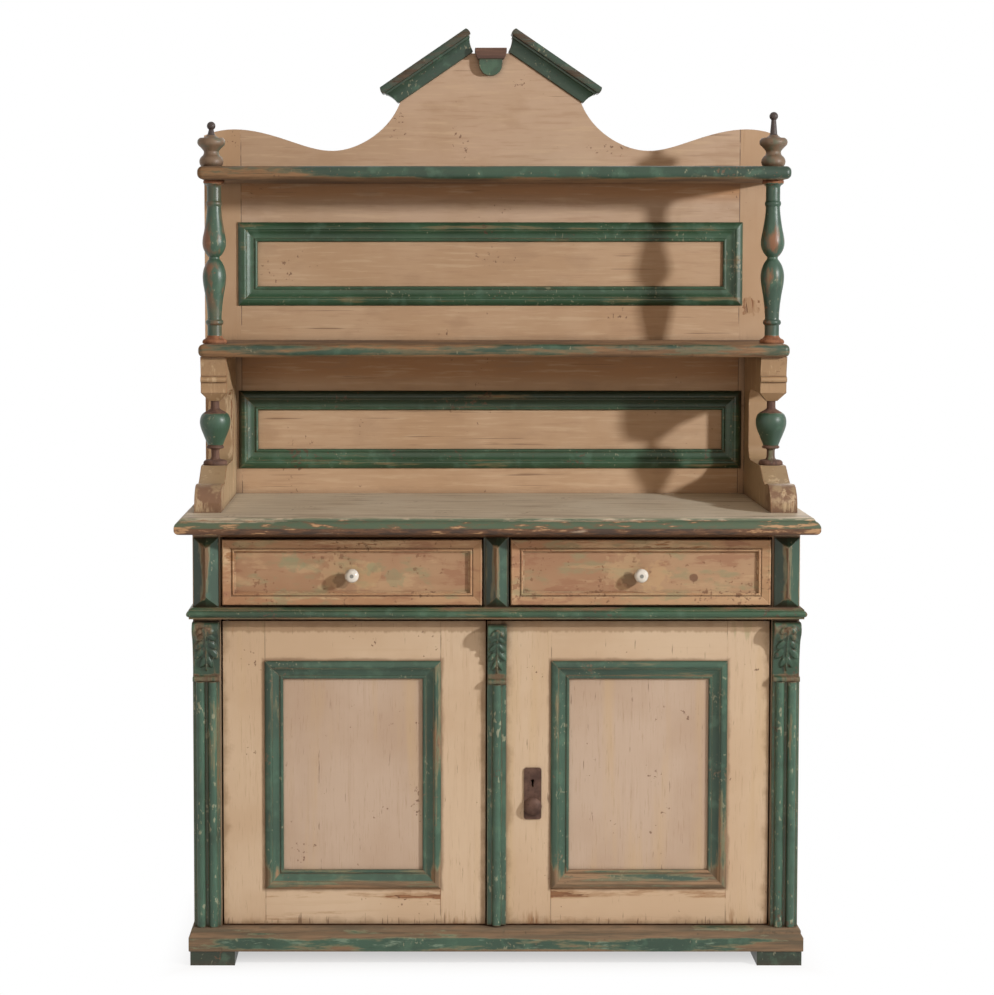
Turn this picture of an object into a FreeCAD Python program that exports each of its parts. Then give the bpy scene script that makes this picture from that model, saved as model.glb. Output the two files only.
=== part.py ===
import FreeCAD, Part
import os

# Kitchen hutch: a two-door, two-drawer base cupboard under an open shelf rack
# with a shaped crest. Millimetres, +Z up, front towards -Y, origin on the floor
# under the middle of the countertop.

# Countertop
TOP_WIDTH = 1280.0
TOP_DEPTH = 520.0
TOP_THICK = 34.0
TOP_FRONT_PLANK = 98.0
TOP_BACK_PLANKS = 2
SIDE_OVERHANG = 31.0
FRONT_OVERHANG = 63.0
BACK_OVERHANG = 10.0

# Base cupboard
FOOT_HEIGHT = 29.0
FOOT_WIDTH = 90.0
FOOT_SETBACK = 3.0
PLINTH_HEIGHT = 46.0
PLINTH_REACH = 28.0
PLINTH_SIDE_REACH = 10.0
BOARD = 22.0
FACE_THICK = 22.0
STILE_WIDTH = 56.0
CENTRE_STILE = 51.0
DOOR_HEIGHT = 618.0
WAIST_RAIL = 26.0
WAIST_REACH = 29.0
WAIST_SIDE_REACH = 11.0
WAIST_MOULD_HEIGHT = 22.0
DRAWER_HEIGHT = 134.0
TOP_RAIL = 11.0
BACK_PLANK = 12.0
BACK_PLANKS = 5
PLANK_SEAM = 0.8
FLOOR_THICK = 18.0
SHELF_BOARD = 18.0
SHELF_RISE = 300.0
SHELF_SETBACK = 40.0
CLEAT = 20.0

# Applied pilasters, capitals and blocks
PILASTER_WIDTH = 54.0
PILASTER_FILLET = 8.0
REED_WIDTH = 18.0
REED_HEIGHT = 10.0
CAPITAL_HEIGHT = 121.0
CAPITAL_BULGE = 36.0
BLOCK_WIDTH = 50.0
CENTRE_BLOCK_WIDTH = 44.0
BLOCK_EDGE = 5.0
BLOCK_RIDGE = 20.0
BLOCK_HIP = 22.0
ASTRAGAL_WIDTH = 38.5
ASTRAGAL_CAPITAL_DROP = 6.0

# Doors
DOOR_THICK = 22.0
DOOR_GAP = 3.0
HINGE_GAP = 3.5
HINGE_STILE = 84.0
MEETING_STILE = 90.0
BOTTOM_DOOR_RAIL = 73.0
TOP_DOOR_RAIL = 81.0
PANEL_THICK = 10.0
PANEL_RECESS = 7.0
PIN_RADIUS = 3.0
PIN_IN_DOOR = 20.0
PIN_IN_RAIL = 14.0
PIN_END_ROOM = 2.0
PIN_CLEARANCE = 0.05
PIN_FROM_EDGE = 9.0
PIN_FROM_FACE = 7.0

# Lock on the right door
PLATE_WIDTH = 35.0
PLATE_HEIGHT = 105.0
PLATE_THICK = 2.5
PLATE_CORNER = 5.0
PLATE_RISE = 215.0
PLATE_FROM_ASTRAGAL = 53.5
KEYHOLE_RADIUS = 3.6
KEYHOLE_SLOT = 4.0
KEYHOLE_DROP = 12.0
KEYHOLE_RISE = 27.0
CASE_HEIGHT = 92.0
CASE_THICK = 18.0
CASE_WALL = 3.0
CASE_EDGE_SETBACK = 3.0
CASE_PAST_PLATE = 18.0
BOLT_HEIGHT = 16.0
BOLT_LENGTH = 60.0
TURN_RADIUS = 18.0
TURN_HEIGHT = 13.0
TURN_DROP = 27.0
SPINDLE_RADIUS = 4.0
SPINDLE_CLEARANCE = 0.06
CAM_LENGTH = 13.0
CAM_WIDTH = 8.0
CAM_THICK = 5.0

# Drawers
DRAWER_GAP = 3.0
DRAWER_FRONT_THICK = 22.0
DRAWER_BACK_GAP = 33.0
DRAWER_SIDE = 12.0
DRAWER_SIDE_HEIGHT = 96.0
DRAWER_BOTTOM = 8.0
RUNNER_WIDTH = 62.0
RUNNER_THICK = 18.0
RUNNER_LAP = 26.0
RUNNER_CLEARANCE = 0.3
GUIDE_HEIGHT = 28.0
GUIDE_CLEARANCE = 1.5
KNOB_RADIUS = 14.0
KNOB_PROJECTION = 30.0
KNOB_DROP = 5.0
KNOB_SCREW_RADIUS = 3.0
KNOB_SCREW_LENGTH = 46.0

# Shelf rack
RACK_SIDE_INSET = 18.0
RACK_BACK_INSET = 8.0
RACK_THICK = 22.0
RACK_STILE = 79.0
BRACKET_HEIGHT = 309.0
BRACKET_THICK = 54.0
BRACKET_FOOT_RISE = 82.0
BRACKET_FOOT_REACH = 390.0
BRACKET_WEB = 74.0
BRACKET_ARM = 75.0
ARM_SETBACK = 22.0
PENDANT_DROP = 18.0
PENDANT_TIP = 22.0
SHELF_THICK = 27.0
SHELF_DEPTH = 269.0
SHELF_INSET = 28.0
SHELF_NOSE = 7.0
URN_RADIUS = 32.0
POST_RADIUS = 25.5
POST_HEIGHT = 340.0
POST_INSET = 30.0
POST_SETBACK = 59.0
FINIAL_HEIGHT = 114.0
SHORT_FINIAL_HEIGHT = 94.0
SHORT_FINIAL_SHIFT = 5.0
FINIAL_RADIUS = 29.0
FINIAL_BULB_HEIGHT = 68.0
BALL_RADIUS = 9.0
SPIKE_RADIUS = 5.0
LOWER_PANEL_RISE = 61.0
LOWER_PANEL_HEIGHT = 158.0
UPPER_PANEL_RISE = 81.0
UPPER_PANEL_HEIGHT = 169.0
RACK_MOULD_LAP = 6.0
RACK_PANEL_THICK = 10.0
RACK_PANEL_RECESS = 6.0

# Crest, measured up from the top of the upper shelf
CREST_END_RISE = 77.0
CREST_PEAK_RISE = 90.0
CREST_DIP_RISE = 44.0
CREST_SHOULDER_RISE = 149.0
CREST_TOP_RISE = 254.0
CREST_LIP = 10.0
CREST_PEAK_INSET = 77.0
CREST_DIP_X = 338.0
CREST_SHOULDER_X = 196.0
CREST_TOP_X = 42.0
CORNICE_DEPTH = 50.0
CORNICE_REACH = 22.0
CORBEL_GAP = 8.0
CORBEL_FOOT_WIDTH = 58.0
CORBEL_BAND = 9.0
CORBEL_HEIGHT = 23.0
CORBEL_REACH = 24.0
DROP_RADIUS = 25.0
DROP_LENGTH = 36.0
DROP_REACH = 17.0

# Fronts of the panel mouldings, as (inwards from the outer edge, out from the face);
# an "arc" step gives a middle point and an end point. Each is stretched to its width.
DOOR_MOULD_WIDTH = 37.0
DOOR_MOULD = [
    (0, 2), ("arc", (3, 5), (8, 6.8)), ("arc", (13, 6.4), (14.5, 4.4)), (16, 4.4),
    ("arc", (22, 0), (30, -2.5)), (31, -1), ("arc", (34, -0.5), (37, -4)),
]
RACK_MOULD_WIDTH = 42.0
RACK_MOULD = [
    (0, 2), ("arc", (4, 5.6), (10, 7.6)), ("arc", (15.5, 7.2), (17.5, 5)), (19, 5),
    ("arc", (26, 1), (35, 0)), (36, 1.5), ("arc", (40, 1.5), (42, -2)),
]
DRAWER_MOULD_WIDTH = 28.0
DRAWER_MOULD = [
    (0, 7), ("arc", (2, 9.5), (5, 9)), (18, 6.5), (18, 5), (20, 5),
    ("arc", (23, 7), (25, 4)), (25, 2), (28, 1.5),
]

# Edge sections as (out from the outermost plane, up from the bottom face),
# stretched to the height of the piece
TOP_EDGE = [
    (-9, 0), ("arc", (-2, 4), (0, 12)), ("arc", (-1.5, 20), (-7, 26)), (-10, 27), (-10, 29),
    ("arc", (-12, 32), (-16, 34)),
]
PLINTH_EDGE = [
    (-1, 0), (0, 1), (0, 28), (-1.5, 30), ("arc", (-4, 33), (-4.5, 38)), ("arc", (-5.5, 43), (-8, 46)),
]
WAIST_EDGE = [(-5, 0), (-5, 5), ("arc", (0, 13), (-5, 21)), (-5, 24), (-9, 28)]
CORNICE_EDGE = [
    (-22, 0), (-17, 1), (-16, 6), ("arc", (-13, 17), (-8, 26)), (-6, 27), (-5, 31), (-1, 32),
    ("arc", (0, 39), (-3, 46)),
]

# Heights, from the floor up
plinth_bottom = FOOT_HEIGHT
plinth_top = plinth_bottom + PLINTH_HEIGHT
door_bottom = plinth_top + DOOR_GAP
door_top = door_bottom + DOOR_HEIGHT
waist_bottom = door_top + DOOR_GAP
waist_top = waist_bottom + WAIST_RAIL
drawer_bottom = waist_top + DRAWER_GAP
drawer_top = drawer_bottom + DRAWER_HEIGHT
top_rail_bottom = drawer_top + DRAWER_GAP
carcase_top = top_rail_bottom + TOP_RAIL
counter = carcase_top + TOP_THICK
middle_shelf = counter + BRACKET_HEIGHT
middle_top = middle_shelf + SHELF_THICK
upper_shelf = middle_top + POST_HEIGHT
upper_top = upper_shelf + SHELF_THICK

# Depths, front to back
counter_front = -TOP_DEPTH / 2
counter_back = TOP_DEPTH / 2
face_front = counter_front + FRONT_OVERHANG
face_back = face_front + FACE_THICK
carcase_back = counter_back - BACK_OVERHANG
plank_front = carcase_back - BACK_PLANK
rack_back = counter_back - RACK_BACK_INSET
rack_face = rack_back - RACK_THICK
shelf_front = rack_face - SHELF_DEPTH
post_y = shelf_front + POST_SETBACK

# Half widths, from the middle plane
top_half = TOP_WIDTH / 2
carcase_half = top_half - SIDE_OVERHANG
inner_half = carcase_half - BOARD
opening_half = carcase_half - STILE_WIDTH
rack_half = top_half - RACK_SIDE_INSET
rack_opening = rack_half - RACK_STILE
shelf_half = top_half - SHELF_INSET
post_x = shelf_half - POST_INSET


def vec(x, y, z):
    return FreeCAD.Vector(x, y, z)


def block(x0, x1, y0, y1, z0, z1):
    return Part.makeBox(x1 - x0, y1 - y0, z1 - z0, vec(x0, y0, z0))


def mirrored(shape):
    return shape.mirror(vec(0, 0, 0), vec(1, 0, 0))


def pair(shape):
    return [mirrored(shape), shape]


def outline(path, place):
    """Closed face through path; place turns a path point into a point in space."""
    edges = []
    first = place(*path[0])
    here = first
    for step in path[1:]:
        if step[0] == "arc":
            end = place(*step[2])
            edges.append(Part.Arc(here, place(*step[1]), end).toShape())
        elif step[0] == "curve":
            points = [here] + [place(*point) for point in step[1]]
            end = points[-1]
            spline = Part.BSplineCurve()
            spline.interpolate(points)
            edges.append(spline.toShape())
        else:
            end = place(*step)
            edges.append(Part.LineSegment(here, end).toShape())
        here = end
    if here.distanceToPoint(first) > 1e-6:
        edges.append(Part.LineSegment(here, first).toShape())
    return Part.Face(Part.Wire(edges))


def side_prism(path, x0, x1):
    """Side-view outline of (y, z) points, as thick as x0 to x1."""
    return outline(path, lambda y, z: vec(x0, y, z)).extrude(vec(x1 - x0, 0, 0))


def front_prism(path, y0, y1):
    """Front-view outline of (x, z) points, as thick as y0 to y1."""
    return outline(path, lambda x, z: vec(x, y0, z)).extrude(vec(0, y1 - y0, 0))


def plan_prism(path, z0, z1):
    """Plan outline of (x, y) points, from z0 up to z1."""
    return outline(path, lambda x, y: vec(x, y, z0)).extrude(vec(0, 0, z1 - z0))


def turned(path, x, y, z):
    """Turned piece from (radius, height) points, standing on (x, y, z)."""
    section = outline(path, lambda radius, height: vec(radius, 0, height))
    solid = section.revolve(vec(0, 0, 0), vec(0, 0, 1), 360)
    solid.translate(vec(x, y, z))
    return solid


def shifted_path(path, move):
    """The same path with every point passed through move."""
    moved = []
    for step in path:
        if step[0] == "arc":
            moved.append(("arc", move(*step[1]), move(*step[2])))
        elif step[0] == "curve":
            moved.append(("curve", [move(*point) for point in step[1]]))
        else:
            moved.append(move(*step))
    return moved


def path_points(path):
    """Every point of a path, in order."""
    points = []
    for step in path:
        if step[0] == "arc":
            points += step[1:]
        elif step[0] == "curve":
            points += step[1]
        else:
            points.append(step)
    return points


def stretched(path, radius, height):
    """A drawn (radius, height) path, stretched to its widest radius and its height."""
    wide = max(point[0] for point in path_points(path))
    tall = max(point[1] for point in path_points(path))
    return shifted_path(path, lambda out, up: (out * radius / wide, up * height / tall))


def last_point(path):
    end = path[-1]
    return end[2] if end[0] == "arc" else end


def fitted(section, width):
    """A moulding's front, stretched sideways to its width."""
    stretch = width / last_point(section)[0]
    return shifted_path(section, lambda inwards, out: (inwards * stretch, out))


def moulded_slab(half, front, back, bottom, edge, height):
    """Slab whose front and two ends carry the same edge section, with mitred corners."""
    top = bottom + height
    stretch = height / last_point(edge)[1]
    front_edge = shifted_path(edge, lambda out, up: (front - out, bottom + up * stretch))
    end_edge = shifted_path(edge, lambda out, up: (half + out, bottom + up * stretch))
    slab = side_prism([(back, bottom)] + front_edge + [(back, top)], -half, half)
    right = front_prism([(-half, bottom)] + end_edge + [(-half, top)], front, back)
    return slab.common(right).common(mirrored(right))


def skirt(half, front, bottom, edge, height):
    """Moulding round the front and sides of the carcase: front piece and two returns."""
    ring = moulded_slab(half, front, carcase_back, bottom, edge, height)
    top = bottom + height
    ring = ring.cut(block(-carcase_half, carcase_half, face_front, carcase_back, bottom, top))
    mitre = front + half - carcase_half
    corners = [(half, front), (carcase_half, mitre), (carcase_half, face_front)]
    fence = plan_prism(corners + [(-x, y) for x, y in reversed(corners)], bottom, top)
    side = block(0, half, front, carcase_back, bottom, top).cut(fence)
    right = ring.common(side)
    return [ring.common(fence), mirrored(right), right]


def mitred_frame(x0, x1, z0, z1, face, section, width):
    """Four mitred lengths of moulding round a panel; section is (inwards, outwards)."""
    runs = [
        (lambda u, v: vec(x0, face - v, z0 + u), vec(x1 - x0, 0, 0),
         [(x0, z0), (x1, z0), (x1 - width, z0 + width), (x0 + width, z0 + width)]),
        (lambda u, v: vec(x0, face - v, z1 - u), vec(x1 - x0, 0, 0),
         [(x0, z1), (x1, z1), (x1 - width, z1 - width), (x0 + width, z1 - width)]),
        (lambda u, v: vec(x0 + u, face - v, z0), vec(0, 0, z1 - z0),
         [(x0, z0), (x0 + width, z0 + width), (x0 + width, z1 - width), (x0, z1)]),
        (lambda u, v: vec(x1 - u, face - v, z0), vec(0, 0, z1 - z0),
         [(x1, z0), (x1 - width, z0 + width), (x1 - width, z1 - width), (x1, z1)]),
    ]
    lengths = []
    for place, along, fence in runs:
        run = outline(section, place).extrude(along)
        lengths.append(run.common(front_prism(fence, face - width, face + width)))
    return lengths


def save(node, solids):
    Part.makeCompound(solids).exportStep("parts/%s.step" % node)


os.makedirs("parts", exist_ok=True)

# Base cupboard: feet, plinth, carcase boards and face frame
plinth_half = carcase_half + PLINTH_SIDE_REACH
plinth_front = face_front - PLINTH_REACH
foot_outer = plinth_half - FOOT_SETBACK
feet = []
for foot_front in (plinth_front + FOOT_SETBACK, carcase_back - FOOT_WIDTH):
    foot_back = foot_front + FOOT_WIDTH
    feet += pair(block(foot_outer - FOOT_WIDTH, foot_outer, foot_front, foot_back, 0, FOOT_HEIGHT))
save("feet", feet)
save("plinth", skirt(plinth_half, plinth_front, plinth_bottom, PLINTH_EDGE, PLINTH_HEIGHT))

side = block(inner_half, carcase_half, face_back, plank_front, plinth_bottom, carcase_top)
save("side_left", [mirrored(side)])
save("side_right", [side])
corner_stile = block(opening_half, carcase_half, face_front, face_back, plinth_bottom, carcase_top)
save("corner_stiles", pair(corner_stile))
floor_bottom = plinth_top - FLOOR_THICK
save("bottom_board", [block(-inner_half, inner_half, face_back, plank_front, floor_bottom, plinth_top)])

plank_width = (2 * carcase_half - PLANK_SEAM * (BACK_PLANKS - 1)) / BACK_PLANKS
planks = []
for count in range(BACK_PLANKS):
    plank_left = -carcase_half + count * (plank_width + PLANK_SEAM)
    plank_right = plank_left + plank_width
    planks.append(block(plank_left, plank_right, plank_front, carcase_back, plinth_bottom, carcase_top))
save("base_back_planks", planks)

# Hidden pivot pins carry each door at its top and bottom outer corners
hinge_edge = opening_half - HINGE_GAP
pin_x = hinge_edge - PIN_FROM_EDGE
pin_y = face_front + PIN_FROM_FACE
socket_depth = PIN_IN_RAIL + PIN_END_ROOM
socket_radius = PIN_RADIUS + PIN_CLEARANCE


def pivot(radius, bottom, length, x=pin_x):
    return Part.makeCylinder(radius, length, vec(x, pin_y, bottom))


def rail(bottom, top):
    return block(-opening_half, opening_half, face_front, face_back, bottom, top)


bottom_rail = rail(plinth_bottom, plinth_top)
waist_rail = rail(waist_bottom, waist_top)
for x in (-pin_x, pin_x):
    bottom_rail = bottom_rail.cut(pivot(socket_radius, plinth_top - socket_depth, socket_depth, x))
    waist_rail = waist_rail.cut(pivot(socket_radius, waist_bottom, socket_depth, x))
save("bottom_rail", [bottom_rail])
save("waist_rail", [waist_rail])
save("top_rail", [rail(top_rail_bottom, carcase_top)])
centre_half = CENTRE_STILE / 2
save("drawer_divider", [block(-centre_half, centre_half, face_front, face_back, waist_top, top_rail_bottom)])
waist_half = carcase_half + WAIST_SIDE_REACH
waist_front = face_front - WAIST_REACH
waist_mould_bottom = waist_top - WAIST_MOULD_HEIGHT
save("waist_moulding", skirt(waist_half, waist_front, waist_mould_bottom, WAIST_EDGE, WAIST_MOULD_HEIGHT))

# Drawer runners with their guides, and the cupboard shelf on its cleats
drawer_outer = opening_half - DRAWER_GAP
drawer_inner = centre_half + DRAWER_GAP
runner_top = drawer_bottom - RUNNER_CLEARANCE
runner_bottom = runner_top - RUNNER_THICK
guide_top = runner_top + GUIDE_HEIGHT


def lengthwise(x0, x1, bottom, top):
    return block(x0, x1, face_back, plank_front, bottom, top)


middle_runner_half = centre_half + RUNNER_LAP
middle_guide_half = drawer_inner - GUIDE_CLEARANCE
runners = pair(lengthwise(inner_half - RUNNER_WIDTH, inner_half, runner_bottom, runner_top))
runners += pair(lengthwise(drawer_outer + GUIDE_CLEARANCE, inner_half, runner_top, guide_top))
runners.append(lengthwise(-middle_runner_half, middle_runner_half, runner_bottom, runner_top))
runners.append(lengthwise(-middle_guide_half, middle_guide_half, runner_top, guide_top))
save("drawer_runners", runners)

shelf_bottom = plinth_top + SHELF_RISE
cupboard_front = face_back + SHELF_SETBACK
shelf_board_top = shelf_bottom + SHELF_BOARD
shelf_board = block(-inner_half, inner_half, cupboard_front, plank_front, shelf_bottom, shelf_board_top)
save("cupboard_shelf", [shelf_board])
cleat = block(inner_half - CLEAT, inner_half, cupboard_front, plank_front, shelf_bottom - CLEAT, shelf_bottom)
save("shelf_cleats", pair(cleat))

# Countertop of planks with a moulded nose round the front and ends
slab = moulded_slab(top_half, counter_front, counter_back, carcase_top, TOP_EDGE, TOP_THICK)
plank_depth = (TOP_DEPTH - TOP_FRONT_PLANK) / TOP_BACK_PLANKS
plank_edges = [counter_front]
for count in range(TOP_BACK_PLANKS + 1):
    plank_edges.append(counter_front + TOP_FRONT_PLANK + count * plank_depth)
top_planks = []
for plank_y0, plank_y1 in zip(plank_edges, plank_edges[1:]):
    top_planks.append(slab.common(block(-top_half, top_half, plank_y0, plank_y1, carcase_top, counter)))
save("countertop", top_planks)


# Reeded pilasters, leaf capitals and hipped blocks on the face frame
def reeded(x0, x1, reeds, bottom, top):
    fillet_face = face_front - PILASTER_FILLET
    flat = (x1 - x0 - reeds * REED_WIDTH) / (reeds + 1)
    section = [(x0, face_front), (x0, fillet_face)]
    for count in range(reeds):
        left = x0 + flat + count * (REED_WIDTH + flat)
        crown = (left + REED_WIDTH / 2, fillet_face - REED_HEIGHT)
        section.append((left, fillet_face))
        section.append(("arc", crown, (left + REED_WIDTH, fillet_face)))
    section += [(x1, fillet_face), (x1, face_front)]
    return plan_prism(section, bottom, top)


capital_top = door_top
capital_bottom = capital_top - CAPITAL_HEIGHT
CAPITAL_DRAWN = 121.0
CAPITAL_FOOT = [(0, 0), (14, 0), ("arc", (17, 5), (14, 10)), (10, 12)]
CAPITAL_SWELL = [(10.5, 36), (15, 62), (25, 88)]
CAPITAL_LIP = [(0, 104), (-4, 118), (-10, 121)]


def capital(x0, x1, bottom):
    """Leaf capital in side view: a small foot, a swelling leaf and a rolled lip."""
    rise = CAPITAL_HEIGHT / CAPITAL_DRAWN

    def place(out, up):
        return (face_front - out, bottom + up * rise)

    lip = [place(CAPITAL_BULGE + out, up) for out, up in CAPITAL_LIP]
    swell = [place(out, up) for out, up in CAPITAL_SWELL] + lip
    path = shifted_path(CAPITAL_FOOT, place) + [("curve", swell), place(0, CAPITAL_DRAWN)]
    return side_prism(path, x0, x1)


def hipped_block(middle, width, bottom, top):
    """Block with a vertical ridge and hipped ends."""
    x0 = middle - width / 2
    x1 = middle + width / 2
    edge = face_front - BLOCK_EDGE
    ridge = face_front - BLOCK_RIDGE
    plan = [(x0, face_front), (x0, edge), (middle, ridge), (x1, edge), (x1, face_front)]
    side_view = [(face_front, bottom), (edge, bottom), (ridge, bottom + BLOCK_HIP)]
    side_view += [(ridge, top - BLOCK_HIP), (edge, top), (face_front, top)]
    return plan_prism(plan, bottom, top).common(side_prism(side_view, x0, x1))


pilaster_inner = carcase_half - PILASTER_WIDTH
save("corner_pilasters", pair(reeded(pilaster_inner, carcase_half, 2, plinth_top, capital_bottom)))
save("corner_capitals", pair(capital(pilaster_inner, carcase_half, capital_bottom)))
block_middle = carcase_half - PILASTER_WIDTH / 2
blocks = pair(hipped_block(block_middle, BLOCK_WIDTH, waist_top, top_rail_bottom))
blocks.append(hipped_block(0, CENTRE_BLOCK_WIDTH, waist_top, top_rail_bottom))
save("drawer_blocks", blocks)

# Doors: the right one carries the centre pilaster and the lock
left_edge = -ASTRAGAL_WIDTH / 2 - DOOR_GAP / 2
right_edge = left_edge + DOOR_GAP
astragal_right = right_edge + ASTRAGAL_WIDTH
door_back = face_front + DOOR_THICK
panel_front = face_front + PANEL_RECESS
panel_back = panel_front + PANEL_THICK
door_section = [(0, -PANEL_RECESS)] + fitted(DOOR_MOULD, DOOR_MOULD_WIDTH) + [(DOOR_MOULD_WIDTH, -PANEL_RECESS)]


def leaf(x0, x1, bottom, top):
    return block(x0, x1, face_front, door_back, bottom, top)


def door(name, x0, x1, left_stile, right_stile, hinge_x, cuts):
    """Framed door: stiles, rails, panel, mitred moulding and its two pivot pins."""
    stiles = []
    for start, end in ((x0, x0 + left_stile), (x1 - right_stile, x1)):
        stile = leaf(start, end, door_bottom, door_top)
        stile = stile.cut(pivot(PIN_RADIUS, door_bottom, PIN_IN_DOOR, hinge_x))
        stile = stile.cut(pivot(PIN_RADIUS, door_top - PIN_IN_DOOR, PIN_IN_DOOR, hinge_x))
        for cut in cuts:
            stile = stile.cut(cut)
        stiles.append(stile)
    in_left = x0 + left_stile
    in_right = x1 - right_stile
    in_bottom = door_bottom + BOTTOM_DOOR_RAIL
    in_top = door_top - TOP_DOOR_RAIL
    save(name + "_stiles", stiles)
    rails = [leaf(in_left, in_right, door_bottom, in_bottom), leaf(in_left, in_right, in_top, door_top)]
    save(name + "_rails", rails)
    save(name + "_panel", [block(in_left, in_right, panel_front, panel_back, in_bottom, in_top)])
    moulding = mitred_frame(in_left, in_right, in_bottom, in_top, face_front, door_section, DOOR_MOULD_WIDTH)
    save(name + "_moulding", moulding)
    pin_length = PIN_IN_DOOR + DOOR_GAP + PIN_IN_RAIL
    pins = [pivot(PIN_RADIUS, door_bottom - DOOR_GAP - PIN_IN_RAIL, pin_length, hinge_x)]
    pins.append(pivot(PIN_RADIUS, door_top - PIN_IN_DOOR, pin_length, hinge_x))
    save(name + "_pins", pins)


# Lock: plate with keyhole, case on the door's back, withdrawn bolt, turn knob
plate_x = astragal_right + PLATE_FROM_ASTRAGAL
plate_bottom = door_bottom + PLATE_RISE
plate_top = plate_bottom + PLATE_HEIGHT
plate_front = face_front - PLATE_THICK
keyhole_z = plate_top - KEYHOLE_RISE
turn_z = plate_bottom + TURN_DROP
case_back = door_back + CASE_THICK
case_left = right_edge + CASE_EDGE_SETBACK
case_right = plate_x + CASE_PAST_PLATE
case_bottom = (plate_bottom + plate_top - CASE_HEIGHT) / 2
case_top = case_bottom + CASE_HEIGHT


def through(radius, z, y0, y1):
    """Round bar along Y on the lock's middle line."""
    return Part.makeCylinder(radius, y1 - y0, vec(plate_x, y0, z), vec(0, 1, 0))


def keyhole():
    slot = block(plate_x - KEYHOLE_SLOT / 2, plate_x + KEYHOLE_SLOT / 2, plate_front, door_back,
                 keyhole_z - KEYHOLE_DROP, keyhole_z)
    return through(KEYHOLE_RADIUS, keyhole_z, plate_front, door_back).fuse(slot)


spindle_hole = through(SPINDLE_RADIUS + SPINDLE_CLEARANCE, turn_z, plate_front, door_back)
lock_cuts = [keyhole(), spindle_hole]
door("door_left", -hinge_edge, left_edge, HINGE_STILE, MEETING_STILE, -pin_x, [])
door("door_right", right_edge, hinge_edge, ASTRAGAL_WIDTH + MEETING_STILE, HINGE_STILE, pin_x, lock_cuts)
leaf_bottom = capital_bottom - ASTRAGAL_CAPITAL_DROP
save("astragal", [reeded(right_edge, astragal_right, 1, door_bottom, leaf_bottom)])
save("astragal_capital", [capital(right_edge, astragal_right, leaf_bottom)])

plate_left = plate_x - PLATE_WIDTH / 2
plate = block(plate_left, plate_left + PLATE_WIDTH, plate_front, face_front, plate_bottom, plate_top)
plate_corners = [edge for edge in plate.Edges if abs(edge.tangentAt(edge.FirstParameter).y) > 0.5]
plate = plate.makeFillet(PLATE_CORNER, plate_corners)
for cut in lock_cuts:
    plate = plate.cut(cut)
save("lock_plate", [plate])

bolt_bottom = keyhole_z - BOLT_HEIGHT / 2
bolt_back = case_back - CASE_WALL
bolt_front = bolt_back - BOLT_HEIGHT / 2
bolt = block(case_left, case_left + BOLT_LENGTH, bolt_front, bolt_back, bolt_bottom, bolt_bottom + BOLT_HEIGHT)
case = block(case_left, case_right, door_back, case_back, case_bottom, case_top)
case = case.cut(block(case_left + CASE_WALL, case_right - CASE_WALL, door_back, case_back - CASE_WALL,
                      case_bottom + CASE_WALL, case_top - CASE_WALL))
save("lock_case", [case.cut(bolt)])
save("lock_bolt", [bolt])

# Low round knob whose spindle turns a cam inside the lock case
TURN_SEAT_GAP = 0.3
TURN_HEAD = [(0, 0), (15, 0), ("arc", (18, 3), (16.5, 7)), ("arc", (11.5, 11.3), (5, 13)), (0, 13)]


def turned_forward(path, radius, length, x, base_y, z):
    """Turned piece along -Y, stretched from its drawn size to radius and length."""
    solid = turned(stretched(path, radius, length), 0, 0, 0)
    solid.rotate(vec(0, 0, 0), vec(1, 0, 0), 90)
    solid.translate(vec(x, base_y, z))
    return solid


head_y = plate_front - TURN_SEAT_GAP
head = turned_forward(TURN_HEAD, TURN_RADIUS, TURN_HEIGHT, plate_x, head_y, turn_z)
cam_back = (door_back + bolt_back + CAM_THICK) / 2
spindle = through(SPINDLE_RADIUS, turn_z, head_y, cam_back)
cam = block(plate_x - CAM_WIDTH / 2, plate_x + CAM_WIDTH / 2, cam_back - CAM_THICK, cam_back,
            turn_z - CAM_LENGTH, turn_z + SPINDLE_RADIUS)
save("turn_knob", [head.fuse(spindle).fuse(cam).removeSplitter()])

# Drawers: front with a mitred border, dovetailed box, porcelain knob on its screw
knob_z = (drawer_bottom + drawer_top) / 2 - KNOB_DROP
box_front = face_front + DRAWER_FRONT_THICK
box_back = plank_front - DRAWER_BACK_GAP
drawer_section = [(0, 0)] + fitted(DRAWER_MOULD, DRAWER_MOULD_WIDTH) + [(DRAWER_MOULD_WIDTH, 0)]
KNOB_SHAPE = [
    (0, 0), (9, 0), ("arc", (9.5, 2), (8, 4)), ("arc", (6.6, 8), (8, 12)), ("arc", (13, 15), (14, 20)),
    ("arc", (12, 26.5), (6, 29.5)), (4, 30), (0, 30),
]
DRAWER_BOTTOM_RISE = 5.0


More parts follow.
